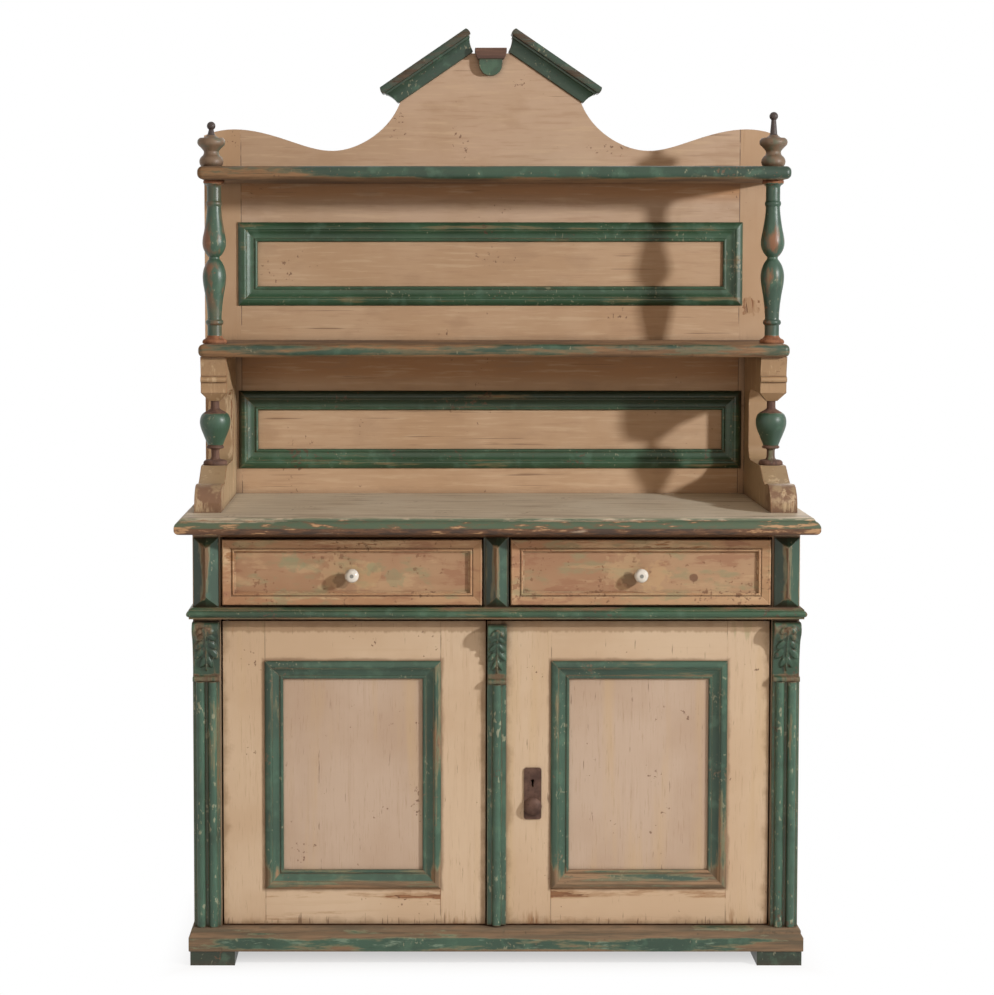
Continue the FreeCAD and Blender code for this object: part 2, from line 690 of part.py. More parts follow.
def drawer(name, x0, x1):
    middle = (x0 + x1) / 2
    screw_head = vec(middle, face_front - KNOB_PROJECTION, knob_z)
    screw = Part.makeCylinder(KNOB_SCREW_RADIUS, KNOB_SCREW_LENGTH, screw_head, vec(0, 1, 0))
    front = block(x0, x1, face_front, box_front, drawer_bottom, drawer_top)
    save(name + "_front", [front.cut(screw)])
    border = mitred_frame(x0, x1, drawer_bottom, drawer_top, face_front, drawer_section, DRAWER_MOULD_WIDTH)
    save(name + "_moulding", border)
    side_top = drawer_bottom + DRAWER_SIDE_HEIGHT
    inside = (x0 + DRAWER_SIDE, x1 - DRAWER_SIDE)
    floor_z = drawer_bottom + DRAWER_BOTTOM_RISE
    save(name + "_box", [
        block(x0, inside[0], box_front, box_back, drawer_bottom, side_top),
        block(inside[1], x1, box_front, box_back, drawer_bottom, side_top),
        block(inside[0], inside[1], box_back - DRAWER_SIDE, box_back, drawer_bottom, side_top),
        block(inside[0], inside[1], box_front, box_back - DRAWER_SIDE, floor_z, floor_z + DRAWER_BOTTOM),
    ])
    knob = turned_forward(KNOB_SHAPE, KNOB_RADIUS, KNOB_PROJECTION, middle, face_front, knob_z)
    save(name + "_knob", [knob.cut(screw), screw])


drawer("drawer_left", -drawer_outer, -drawer_inner)
drawer("drawer_right", drawer_inner, drawer_outer)

# Rack back: stiles, rails and panels under the shaped crest
lower_bottom = counter + LOWER_PANEL_RISE
lower_top = lower_bottom + LOWER_PANEL_HEIGHT
upper_bottom = middle_top + UPPER_PANEL_RISE
upper_panel_top = upper_bottom + UPPER_PANEL_HEIGHT
crest_end = upper_top + CREST_END_RISE
crest_peak = upper_top + CREST_PEAK_RISE
crest_dip = upper_top + CREST_DIP_RISE
crest_shoulder = upper_top + CREST_SHOULDER_RISE
crest_top = upper_top + CREST_TOP_RISE
corbel_top = crest_top + CREST_LIP
corbel_bottom = corbel_top - CORBEL_HEIGHT
corbel_half = CREST_TOP_X - CORBEL_GAP
peak_x = rack_half - CREST_PEAK_INSET
inflect = ((peak_x + CREST_DIP_X) / 2, (crest_peak + crest_dip) / 2)
SWEEP_OUT = 0.33
SWEEP_UP = 0.38
sweep = (CREST_SHOULDER_X + (CREST_DIP_X - CREST_SHOULDER_X) * SWEEP_OUT,
         crest_dip + (crest_shoulder - crest_dip) * SWEEP_UP)
crest_curve = [
    (peak_x, crest_peak), inflect, (CREST_DIP_X, crest_dip), sweep, (CREST_SHOULDER_X, crest_shoulder),
]
half_crest = [
    (0, counter), (rack_half, counter), (rack_half, crest_end),
    ("curve", crest_curve),
    (CREST_TOP_X, crest_top), (corbel_half, crest_top), (corbel_half, corbel_top), (0, corbel_top),
]
half_back = front_prism(half_crest, rack_face, rack_back)
stile = half_back.common(block(rack_opening, rack_half, rack_face, rack_back, counter, crest_top))
save("back_stiles", pair(stile))
above = block(0, rack_opening, rack_face, rack_back, upper_panel_top, corbel_top)
half_board = half_back.common(above)
save("crest_board", [half_board.fuse(mirrored(half_board)).removeSplitter()])


def back_rail(bottom, top):
    return block(-rack_opening, rack_opening, rack_face, rack_back, bottom, top)


save("back_rails", [back_rail(counter, lower_bottom), back_rail(lower_top, upper_bottom)])
rack_panel_front = rack_face + RACK_PANEL_RECESS
rack_panel_back = rack_panel_front + RACK_PANEL_THICK
rack_section = [(0, 0)] + fitted(RACK_MOULD, RACK_MOULD_WIDTH)
rack_section += [(RACK_MOULD_WIDTH, -RACK_PANEL_RECESS), (RACK_MOULD_LAP, -RACK_PANEL_RECESS)]
rack_section.append((RACK_MOULD_LAP, 0))
panels = []
mould_half = rack_opening + RACK_MOULD_LAP
for name, bottom, top in (("lower", lower_bottom, lower_top), ("upper", upper_bottom, upper_panel_top)):
    panels.append(block(-rack_opening, rack_opening, rack_panel_front, rack_panel_back, bottom, top))
    frame = mitred_frame(-mould_half, mould_half, bottom - RACK_MOULD_LAP, top + RACK_MOULD_LAP, rack_face,
                         rack_section, RACK_MOULD_WIDTH)
    save(name + "_panel_moulding", frame)
save("back_panels", panels)

# Raking cornices on the crest's sloping shoulders, and the corbel between them
slope = vec(CREST_SHOULDER_X - CREST_TOP_X, 0, crest_shoulder - crest_top)
cornice_half = slope.Length / 2 + CORNICE_REACH
cornice = moulded_slab(cornice_half, rack_face - CORNICE_REACH, rack_back, 0, CORNICE_EDGE, CORNICE_DEPTH)
tilt = FreeCAD.Rotation(vec(1, 0, 0), slope)
cornice.Placement = FreeCAD.Placement(
    vec((CREST_SHOULDER_X + CREST_TOP_X) / 2, 0, (crest_shoulder + crest_top) / 2), tilt)
save("cornice_left", [mirrored(cornice)])
save("cornice_right", [cornice])

corbel_foot = CORBEL_FOOT_WIDTH / 2
corbel_shoulder = corbel_top - CORBEL_BAND
corbel = front_prism([
    (-corbel_half, corbel_top), (-corbel_half, corbel_shoulder), (-corbel_foot, corbel_bottom),
    (corbel_foot, corbel_bottom), (corbel_half, corbel_shoulder), (corbel_half, corbel_top),
], rack_face - CORBEL_REACH, rack_face)
drop_tip = corbel_bottom - DROP_LENGTH
drop_spring = drop_tip + DROP_RADIUS
drop = front_prism([
    (-DROP_RADIUS, corbel_bottom), (-DROP_RADIUS, drop_spring),
    ("arc", (0, drop_tip), (DROP_RADIUS, drop_spring)), (DROP_RADIUS, corbel_bottom),
], rack_face - DROP_REACH, rack_face)
save("crest_corbel", [corbel, drop])


# Shelves with eased noses
def rack_shelf(bottom):
    top = bottom + SHELF_THICK
    inset = SHELF_NOSE * (1 - 0.5 ** 0.5)
    back = shelf_front + SHELF_NOSE
    path = [
        (rack_face, bottom), (back, bottom),
        ("arc", (shelf_front + inset, bottom + inset), (shelf_front, bottom + SHELF_NOSE)),
        (shelf_front, top - SHELF_NOSE),
        ("arc", (shelf_front + inset, top - inset), (back, top)), (rack_face, top),
    ]
    return side_prism(path, -shelf_half, shelf_half)


save("shelf_middle", [rack_shelf(middle_shelf)])
save("shelf_upper", [rack_shelf(upper_shelf)])

# Scrolled brackets between the countertop and the middle shelf
ARM_CORNER = 30.0
ARM_STEP = 8.0
LEDGE_REACH = 30.0
foot_front = rack_face - BRACKET_FOOT_REACH
ledge = counter + BRACKET_FOOT_RISE
ledge_front = post_y - LEDGE_REACH
web_front = rack_face - BRACKET_WEB
arm_bottom = middle_shelf - BRACKET_ARM
arm_front = shelf_front + ARM_SETBACK
arm_low = arm_front + ARM_STEP
pendant_tip = arm_bottom - PENDANT_DROP


def on_foot(along, up):
    """Point on the foot's scroll: shares of its run towards the ledge and of its rise."""
    return (foot_front + along * (ledge_front - foot_front), counter + up * BRACKET_FOOT_RISE)


def on_arm(back, up):
    """Point on the arm's moulded front: back from its nose, share of the arm's height."""
    return (arm_front + back, arm_bottom + up * BRACKET_ARM)


corner = ARM_CORNER * (1 - 0.5 ** 0.5)
bracket_side = [
    (rack_face, counter), on_foot(0, 0), on_foot(0, 0.24),
    ("arc", on_foot(0.1, 0.53), on_foot(0.34, 0.65)), on_foot(0.47, 0.64), on_foot(0.49, 0.58),
    ("curve", [on_foot(0.66, 0.66), on_foot(0.86, 0.86), on_foot(1, 1)]),
    (web_front - ARM_CORNER, ledge),
    ("arc", (web_front - corner, ledge + corner), (web_front, ledge + ARM_CORNER)),
    (web_front, arm_bottom - ARM_CORNER),
    ("arc", (web_front - corner, arm_bottom - corner), (web_front - ARM_CORNER, arm_bottom)),
    (arm_low, arm_bottom), on_arm(ARM_STEP, 0.29), on_arm(2, 0.3),
    ("arc", on_arm(-1, 0.37), on_arm(2, 0.44)), on_arm(ARM_STEP, 0.46),
    ("curve", [on_arm(7, 0.6), on_arm(3, 0.8), on_arm(0, 0.94)]), on_arm(0, 1), (rack_face, middle_shelf),
]
bracket = side_prism(bracket_side, post_x - BRACKET_THICK / 2, post_x + BRACKET_THICK / 2)


def taper(middle, wide):
    """Outline that narrows from the arm's underside to the pendant's tip."""
    tip = PENDANT_TIP / 2
    return [(middle - wide, arm_bottom), (middle - tip, pendant_tip), (middle + tip, pendant_tip),
            (middle + wide, arm_bottom)]


pendant_deep = post_y - arm_low
pendant = front_prism(taper(post_x, BRACKET_THICK / 2), arm_low, post_y + pendant_deep)
pendant_side = side_prism(taper(post_y, pendant_deep), post_x - BRACKET_THICK, post_x + BRACKET_THICK)
pendant = pendant.common(pendant_side)
bracket = bracket.fuse(pendant).removeSplitter()
save("bracket_left", [mirrored(bracket)])
save("bracket_right", [bracket])

# Turned pieces, drawn as (radius, height) and stretched between their seats
URN = [
    (0, 0), (24.5, 0), ("arc", (24.5, 6), (18, 10)), ("arc", (10, 13), (8.5, 18)), (8.5, 30),
    ("arc", (10, 33), (15, 34)), ("arc", (18, 37), (15.5, 40)),
    ("curve", [(17, 44), (26, 66), (32, 90), (27, 106), (15, 114), (9.5, 118)]), (9, 122), (9, 134), (0, 134),
]
POST = [
    (0, 0), (25, 0), ("arc", (25.5, 5), (22, 9)), ("arc", (16.5, 13), (15, 19)), (15, 38),
    ("arc", (18.8, 44), (15, 50)), (14.6, 52),
    ("curve", [(15.5, 70), (20, 105), (24.2, 144), (18, 166), (11, 176)]), (11, 180),
    ("curve", [(18, 188), (24, 203), (21.5, 232), (16.5, 262), (14.7, 285)]),
    ("arc", (17, 291), (14.7, 297)), (14.7, 322), ("arc", (16, 328), (20, 331)), ("arc", (22, 335), (21, 340)),
    (0, 340),
]
FINIAL_BULBS = [
    (0, 0), (20, 0), ("arc", (25, 11), (20, 22)), ("arc", (16, 27), (16, 33)), ("arc", (20, 38), (26, 44)),
    ("arc", (29, 52), (24, 60)), ("arc", (12, 63), (7.5, 68)),
]


def standing(path, z):
    """A left and a right copy on the post lines."""
    return [turned(path, x, post_y, z) for x in (-post_x, post_x)]


def finial(height):
    """Two turned bulbs under a spike that ends in a ball."""
    ball_middle = height - BALL_RADIUS
    spike_top = ball_middle - (BALL_RADIUS ** 2 - SPIKE_RADIUS ** 2) ** 0.5
    ball = ("arc", (BALL_RADIUS, ball_middle), (0, height))
    return stretched(FINIAL_BULBS, FINIAL_RADIUS, FINIAL_BULB_HEIGHT) + [(SPIKE_RADIUS, spike_top), ball]


save("urn_balusters", standing(stretched(URN, URN_RADIUS, pendant_tip - ledge), ledge))
save("shelf_posts", standing(stretched(POST, POST_RADIUS, POST_HEIGHT), middle_top))
save("finials", [
    turned(finial(SHORT_FINIAL_HEIGHT), -post_x - SHORT_FINIAL_SHIFT, post_y, upper_top),
    turned(finial(FINIAL_HEIGHT), post_x, post_y, upper_top),
])
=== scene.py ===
# %% [markdown]
# # A painted kitchen hutch
# The hutch is old pine under cream and green oil paint that has been rubbed, chipped and scrubbed for a
# lifetime. Its boards, mouldings and turned posts come from the construction model, which is loaded first
# and stays where it is. This lesson adds what a lathe and a plane can't give: the carved leaves, the worn
# paint, and the light it is seen in.

# %% Load the construction model
import math

import bpy
from mathutils import Matrix, Vector


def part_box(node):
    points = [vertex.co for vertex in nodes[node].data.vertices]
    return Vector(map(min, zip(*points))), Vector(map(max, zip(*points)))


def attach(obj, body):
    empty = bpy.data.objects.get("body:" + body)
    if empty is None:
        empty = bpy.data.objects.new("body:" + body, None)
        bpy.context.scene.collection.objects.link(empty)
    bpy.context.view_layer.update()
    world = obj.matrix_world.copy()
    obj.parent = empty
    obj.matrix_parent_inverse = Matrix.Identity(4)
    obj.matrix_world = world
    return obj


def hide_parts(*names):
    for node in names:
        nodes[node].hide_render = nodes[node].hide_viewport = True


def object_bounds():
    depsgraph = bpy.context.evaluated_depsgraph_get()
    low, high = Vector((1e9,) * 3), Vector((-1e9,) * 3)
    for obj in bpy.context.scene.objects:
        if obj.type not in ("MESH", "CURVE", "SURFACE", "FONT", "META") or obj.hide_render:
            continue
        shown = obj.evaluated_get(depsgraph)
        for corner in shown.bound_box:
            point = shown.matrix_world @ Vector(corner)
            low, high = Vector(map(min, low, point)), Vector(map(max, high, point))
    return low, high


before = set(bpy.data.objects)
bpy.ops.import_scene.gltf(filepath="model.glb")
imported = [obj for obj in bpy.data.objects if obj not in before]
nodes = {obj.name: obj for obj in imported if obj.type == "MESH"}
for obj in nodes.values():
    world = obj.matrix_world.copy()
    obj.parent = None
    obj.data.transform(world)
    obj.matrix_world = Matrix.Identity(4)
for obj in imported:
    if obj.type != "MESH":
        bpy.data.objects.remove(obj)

cad_low, cad_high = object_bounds()
scene = bpy.context.scene
print("pieces:", len(nodes), "size:", [round(v, 3) for v in cad_high - cad_low])

# %% [markdown]
# ## Camera
# The photograph was taken at eye height with the lens shifted down, so its uprights are nearly parallel. A
# small tilt and a small shift together give the same picture to within a few pixels, and they leave the
# other views well framed.

# %% Camera
IMAGE_SIDE = 995
FOCAL_PIXELS = 2261.0
SENSOR = 36.0
DOWN_TILT = 0.0597
SHIFT_X, SHIFT_Y = 0.0764, -0.1
EYE = (-0.151, -4.704, 1.414)
camera_data = bpy.data.cameras.new("camera")
camera_data.sensor_width = SENSOR
camera_data.lens = FOCAL_PIXELS / IMAGE_SIDE * SENSOR
camera_data.shift_x = SHIFT_X
camera_data.shift_y = SHIFT_Y
camera = bpy.data.objects.new("camera", camera_data)
camera.location = EYE
camera.rotation_euler = (math.pi / 2 - DOWN_TILT, 0, 0)
scene.collection.objects.link(camera)
scene.camera = camera
print("lens:", round(camera_data.lens, 2), "mm")

# %% [markdown]
# ## Sockets as Python values
# A shader is a sum: more wear here, less there, darker in the grain. Written as nodes, a sum is hard to
# read. This class wraps a socket, so that `edge * 0.6 + blotch` adds the Math nodes by itself, and `node`
# adds anything else.

# %% Sockets as Python values
class Wire:
    """One socket of a material; + - * / < > on wires add Math nodes."""

    def __init__(self, tree, socket=None):
        self.tree = tree
        self.socket = socket

    def node(self, kind, settings, sockets, out=0):
        """Any node: its settings are set first, then the values or wires of its sockets."""
        made = self.tree.nodes.new("ShaderNode" + kind)
        for name, value in settings.items():
            setattr(made, name, value)
        for name, value in sockets.items():
            if isinstance(value, Wire):
                self.tree.links.new(value.socket, made.inputs[name])
            else:
                made.inputs[name].default_value = value
        return Wire(self.tree, made.outputs[out]) if made.outputs else None

    def math(self, operation, *values):
        return self.node("Math", {"operation": operation}, dict(enumerate(values)))

    def __add__(self, other):
        return self.math("ADD", self, other)

    def __radd__(self, other):
        return self.math("ADD", other, self)

    def __sub__(self, other):
        return self.math("SUBTRACT", self, other)

    def __rsub__(self, other):
        return self.math("SUBTRACT", other, self)

    def __mul__(self, other):
        return self.math("MULTIPLY", self, other)

    def __rmul__(self, other):
        return self.math("MULTIPLY", other, self)

    def __truediv__(self, other):
        return self.math("DIVIDE", self, other)

    def __lt__(self, other):
        return self.math("LESS_THAN", self, other)

    def __gt__(self, other):
        return self.math("GREATER_THAN", self, other)

    def __abs__(self):
        return self.math("ABSOLUTE", self)


print("wires add their own Math nodes")

# %% [markdown]
# ## Small steps that every finish uses
# Each of these adds one or two nodes: a mix, a smooth step, a noise, a distance. `surface` is the last step,
# which brings colour, roughness and relief together.

# %% Small steps that every finish uses
def srgb(red, green, blue):
    """A colour as it looks on a screen, 0 to 255, as the linear colour that a shader takes."""
    linear = [((v / 255 + 0.055) / 1.055) ** 2.4 if v > 10 else v / 255 / 12.92
              for v in (red, green, blue)]
    return (*linear, 1.0)


def over(below, mask, above):
    """The colour above laid over the one below, where the mask is 1."""
    return mask.node("Mix", {"data_type": "RGBA"}, {0: mask, 6: below, 7: above}, 2)


def ramp(value, low, high):
    """Smooth step: 0 at low, 1 at high."""
    return value.node("MapRange", {"interpolation_type": "SMOOTHSTEP"}, {0: value, 1: low, 2: high})


def least(one, other):
    return one.math("MINIMUM", one, other)


def most(one, other):
    return one.math("MAXIMUM", one, other)


def distance(across, up):
    """The length of a sloping line, from how far it goes each way."""
    square = across * across + up * up
    return square.math("SQRT", square)


def noise(place, scale, detail=3.0, rough=0.55):
    sockets = {"Vector": place, "Scale": scale, "Detail": detail, "Roughness": rough}
    return place.node("TexNoise", {}, sockets)


def mapped(place, scale, shift=(0, 0, 0)):
    return place.node("Mapping", {}, {"Vector": place, "Scale": scale, "Location": shift})


def split(place):
    """The three coordinates of a point, in metres."""
    return [place.node("SeparateXYZ", {}, {"Vector": place}, axis) for axis in range(3)]


def insets(box, x, z):
    """How far a point lies inside a box's sides, and inside its top and bottom; below 0 it is outside."""
    low, high = box
    return ((high.x - low.x) / 2 - abs(x - (low.x + high.x) / 2),
            (high.z - low.z) / 2 - abs(z - (low.z + high.z) / 2))


def new_material(name):
    """An empty material, and the Object coordinates that all its patterns read."""
    material = bpy.data.materials.new(name)
    material.use_nodes = True
    material.node_tree.nodes.clear()
    place = Wire(material.node_tree).node("TexCoord", {}, {}, "Object")
    return material, place


def edges(place, radius):
    """1 along sharp edges, 0 on flat faces: how far a rounded edge's normal leaves the true one."""
    round_normal = place.node("Bevel", {"samples": 5}, {"Radius": radius})
    flat_normal = place.node("NewGeometry", {}, {}, "Normal")
    likeness = place.node("VectorMath", {"operation": "DOT_PRODUCT"},
                          {0: round_normal, 1: flat_normal}, "Value")
    return ramp(1 - likeness, 0.0, 0.22)


def surface(place, colour, roughness, height, relief=0.0006, arris=0.0012, constants=()):
    """The last step of each finish: colour, roughness and relief in one shader, with softened arrises."""
    soft = place.node("Bevel", {"samples": 4}, {"Radius": arris})
    bump = place.node("Bump", {}, {"Height": height, "Distance": relief, "Strength": 0.6, "Normal": soft})
    sockets = {"Base Color": colour, "Roughness": roughness, "Normal": bump, **dict(constants)}
    shader = place.node("BsdfPrincipled", {}, sockets)
    place.node("OutputMaterial", {}, {"Surface": shader})


print("shader helpers ready")

# %% [markdown]
# ## Old paint over pine
# Every painted board has the same layers: brown pine, a pale undercoat, then the coat of colour. Rubbing
# takes the coat off along arrises first, then in patches that follow the grain. Knocks leave small dark
# chips, and the corners and hollows are darkened, as dirt and as painted shade. One function lays these
# down, and each finish sets how far the wear has gone.

# %% Old paint over pine
ALONG = {"X": (1.5, 30, 30), "Z": (30, 30, 1.5), "XY": (1.5, 1.5, 34)}
PATCH_SHIFT = (3.1, 1.7, 0.4)
PINE = (srgb(104, 70, 48), srgb(156, 112, 78))
DIRT_AND_SHADE = srgb(72, 52, 38)
ARRIS_REACH, HOLLOW_REACH = 0.005, 0.03
STREAKS = 1.2


def run_of(place, along):
    """Coordinates drawn out along a board, and less drawn out for the patches on it."""
    if callable(along):
        return along(place)
    scale = ALONG[along]
    return mapped(place, scale), mapped(place, [v ** 0.6 for v in scale], PATCH_SHIFT)


def framed(box):
    """A run that turns the corner of a mitred frame, as the grain of its four lengths does."""
    def run(place):
        x, y, z = split(place)
        from_side, from_end = insets(box, x, z)
        upright = from_side < from_end
        lying, standing = run_of(place, "X"), run_of(place, "Z")
        return [upright.node("Mix", {"data_type": "VECTOR"}, {0: upright, 4: one, 5: other}, 1)
                for one, other in zip(lying, standing)]
    return run


def spot(place, x, z, radius, ragged=0.5):
    """1 inside a ragged round patch on the front, 0 outside it."""
    across, y, up = split(place)
    far = distance(across - x, up - z) / radius
    return ramp(far + (noise(place, 70.0, 4.0) - 0.5) * ragged * 4, 1.1, 0.8)


def painted(name, coats, along, wear, rub, chips, gloss, patches=3.0, grime=0.6, pine=PINE,
            extra=None, tint=None):
    """Worn oil paint: wear shows pine in patches, rub shows it along arrises, chips are knocks."""
    coat, shade, undercoat = coats
    material, place = new_material(name)
    run, broad = run_of(place, along)
    coarse, fine = noise(run, 3.0, 5.0, 0.62), noise(run, 15.0, 3.0, 0.6)
    patch, cloud = noise(broad, 3.0, 7.0, 0.68), noise(place, 4.0, 4.0)
    level = edges(place, ARRIS_REACH) * rub + (patch - 0.5) * patches + (coarse - 0.5) * STREAKS + wear
    if extra:
        level = level + extra(place)
    bare, rim = ramp(level, 0.5, 0.6), ramp(level, 0.22, 0.5)
    crowded = (noise(place, 11.0, 2.0) - 0.5) * 0.9
    knock = ramp(noise(place, 120.0, 3.0) + crowded, 0.86 - chips, 0.9 - chips)
    wood = over(pine[0], ramp(coarse, 0.38, 0.62), pine[1])
    wood = over(wood, ramp(fine, 0.52, 0.68) * 0.7, pine[0])
    colour = over(coat, ramp(cloud, 0.38, 0.64), shade)
    colour = over(colour, ramp(coarse, 0.5, 0.7) * 0.5, shade)
    if tint:
        colour = tint(place, colour, coarse, fine)
    colour = over(over(colour, rim * 0.7, undercoat), bare, wood)
    colour = over(colour, knock * 0.8, pine[0])
    # Dirt and painted shade: hollows and corners found by ambient occlusion are darkened.
    hollow_shade = place.node("AmbientOcclusion", {"samples": 4}, {"Distance": HOLLOW_REACH}, "AO")
    colour = over(colour, ramp(hollow_shade + (fine - 0.5) * 0.5, 0.8, 0.25) * grime, DIRT_AND_SHADE)
    roughness = gloss + bare * (0.8 - gloss) + (fine - 0.5) * 0.2
    surface(place, colour, roughness, (1 - bare) * 0.6 + fine * 0.4 + coarse * 0.3 - knock * 0.5)
    return material


def finish_with(material, *names):
    for name in names:
        for slot in nodes[name].material_slots:
            slot.material = material
    print(material.name, "on", ", ".join(names))


print("one recipe for all painted boards")

# %% [markdown]
# ## Cream paint
# The doors, the back of the rack and the brackets were painted cream. It has yellowed in streaks along the
# grain, more on the rack than on the doors. The feet of the doors are kicked bare, and a patch is missing
# beside the right-hand post. A wear function adds bareness in some place, and a tint function adds colour.

# %% Cream paint: its colours and places
CREAM_UNDER = srgb(160, 124, 88)
CREAM = (srgb(207, 184, 157), srgb(197, 171, 142), CREAM_UNDER)
PANEL = (srgb(194, 173, 154), srgb(183, 159, 138), CREAM_UNDER)
CREST = (srgb(190, 163, 139), srgb(180, 152, 125), CREAM_UNDER)
RACK = (srgb(188, 158, 128), srgb(178, 146, 114), CREAM_UNDER)
BRACKET = (srgb(172, 142, 108), srgb(154, 124, 92), srgb(210, 188, 154))
HAND_DIRT, BROW_SHADOW, FRAME_DIRT_AND_SHADE = srgb(136, 106, 74), srgb(138, 108, 76), srgb(122, 90, 64)
TICK_BROWN, GRAIN_BROWN, CRACK_BROWN = srgb(96, 68, 48), srgb(150, 120, 90), srgb(104, 74, 52)
YELLOW_BAND, DRIP_GREEN = srgb(198, 170, 128), srgb(158, 152, 116)
FOOT_DUST, FOOT_BROWN, BLOTCH_BROWN = srgb(168, 152, 122), srgb(112, 76, 56), srgb(128, 96, 66)
UNDER_SHELF_SHADE, SMUDGE = srgb(172, 126, 82), srgb(164, 134, 106)
PALE_STREAK, DARK_STREAK = srgb(202, 176, 146), srgb(160, 126, 98)
DOOR, DOOR_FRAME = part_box("door_left_stiles"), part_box("door_left_moulding")
DOOR_FOOT = DOOR[0].z
WAIST = 0.7
RACK_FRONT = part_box("back_stiles")[0].y
BRACKET_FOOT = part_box("bracket_left")[0]
SCAR_X, SCAR_Z, SCAR = 0.567, 1.320, 0.022
SEAM = 0.0022
print("doors' feet at", round(DOOR_FOOT, 3), "front of the rack at", round(RACK_FRONT, 3))


# %% Cream paint: where it is bare
def kicked(place):
    """The doors' feet are kicked bare."""
    x, y, z = split(place)
    return ramp(z, DOOR_FOOT + 0.07, DOOR_FOOT) * 0.42


def scraped(place):
    """Rails are kicked less, but the paint below the mouldings is scraped off in patches."""
    x, y, z = split(place)
    sill = DOOR_FRAME[0].z
    return kicked(place) * 0.4 + ramp(z, sill - 0.026, sill - 0.016) * (z < sill + 0.05) * 0.56


def scarred(place):
    """One patch is missing beside the right-hand post."""
    x, y, z = split(place)
    return spot(place, SCAR_X, SCAR_Z, SCAR) * (y < RACK_FRONT + 0.004) * 0.9


def scuffed(place):
    """The brackets' feet are bared by whatever is pushed along the counter."""
    x, y, z = split(place)
    toe = ramp(y, BRACKET_FOOT.y + 0.08, BRACKET_FOOT.y + 0.05)
    return ramp(z, BRACKET_FOOT.z + 0.06, BRACKET_FOOT.z + 0.02) * toe * 0.2


print("wear for doors, rack and brackets")


# %% Cream paint: how its colour has changed, and painted shade
def seamed(*boards):
    """A dark line where the ends of these boards meet their neighbours."""
    boxes = [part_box(board) for board in boards]

    def tint(place, colour, coarse, fine):
        x, y, z = split(place)
        broken = ramp(noise(place, 18.0, 4.0), 0.4, 0.54)
        for low, high in boxes:
            off_end = abs(abs(x - (low.x + high.x) / 2) - (high.x - low.x) / 2)
            colour = over(colour, ramp(off_end, SEAM, SEAM / 3) * broken * 0.6, DIRT_AND_SHADE)
        return colour
    return tint


def door_dirt_and_shade(place, colour):
    """Dirt along the edges of both doors, where no cloth rubs it off; a band of dirt and painted shade round
    their mouldings; and a painted shadow of the waist moulding along the doors' tops.
    """
    x, y, z = split(place)
    mirrored = 0 - abs(x)
    across, up = insets(DOOR, mirrored, z)
    on_door = across > -0.01
    inset = least(across, up) + (noise(place, 24.0, 4.0) - 0.5) * 0.05
    colour = over(colour, ramp(inset, 0.016, -0.004) * on_door * 0.55, HAND_DIRT)
    # A painted shadow of the waist moulding: a darker band along the top of each door.
    uneven = (noise(mapped(place, (60, 60, 6)), 2.0, 3.0) - 0.5) * 0.012
    brow_shadow = ramp(DOOR[1].z - z + uneven, 0.025, 0.019)
    colour = over(colour, brow_shadow * on_door * 0.6, BROW_SHADOW)
    low_down = ramp(z, DOOR_FOOT + 0.03, DOOR_FOOT) * 0.12
    ticks = noise(mapped(place, (150, 150, 12)), 1.6, 3.0) + low_down
    colour = over(colour, ramp(ticks, 0.68, 0.76) * 0.7, TICK_BROWN)
    # Dirt and painted shade: a darker band just outside each moulding, in the corner it makes with the door.
    soil = (noise(mapped(place, (12, 12, 12)), 2.0, 4.0) - 0.5) * 0.012
    ring = soil - least(*insets(DOOR_FRAME, mirrored, z))
    frame_dirt_and_shade = ramp(ring, 0.008, 0.001) * (ring > -0.02) * (y < DOOR_FRAME[0].y + 0.02)
    return over(colour, frame_dirt_and_shade * 0.6, FRAME_DIRT_AND_SHADE)


def yellowed_and_shaded(place, colour, coarse, fine):
    """Drips from the waist at both outer ends, yellow bands, brown grain, and the doors' dirt and painted
    shade.
    """
    x, y, z = split(place)
    drip = noise(mapped(place, (40, 40, 3)), 2.0, 3.0) - ramp(z, WAIST - 0.01, WAIST - 0.1) * 0.5
    drips = ramp(drip, 0.46, 0.58) * ramp(abs(x), 0.4, 0.44) * (z < WAIST)
    colour = over(colour, drips * 0.6, DRIP_GREEN)
    bands = noise(mapped(place, (9, 9, 0.8)), 2.2, 3.0)
    colour = over(colour, ramp(bands, 0.5, 0.7) * 0.4, YELLOW_BAND)
    colour = over(colour, ramp(fine, 0.58, 0.72) * 0.35, GRAIN_BROWN)
    return door_dirt_and_shade(place, colour)


def soiled_and_shaded_rails(place, colour, coarse, fine):
    """The rails: seams at their ends, and the same dirt along the door's edges and painted shade as the
    doors.
    """
    seams = seamed("door_left_rails", "door_right_rails")
    return door_dirt_and_shade(place, seams(place, colour, coarse, fine))


def bracket_dirt(place, colour, coarse, fine):
    """Dust lies on the curve of a bracket's foot, and its lowest block has gone brown in blotches."""
    x, y, z = split(place)
    blotch = noise(place, 40.0, 4.0)
    colour = over(colour, ramp(z, BRACKET_FOOT.z + 0.12, BRACKET_FOOT.z + 0.07) * 0.4, FOOT_DUST)
    toe = ramp(y, BRACKET_FOOT.y + 0.08, BRACKET_FOOT.y + 0.05)
    block = ramp(z, BRACKET_FOOT.z + 0.062, BRACKET_FOOT.z + 0.046) * toe
    colour = over(colour, block * ramp(blotch, 0.62, 0.46) * 0.8, FOOT_BROWN)
    return over(colour, ramp(blotch, 0.4, 0.3) * 0.35, BLOTCH_BROWN)


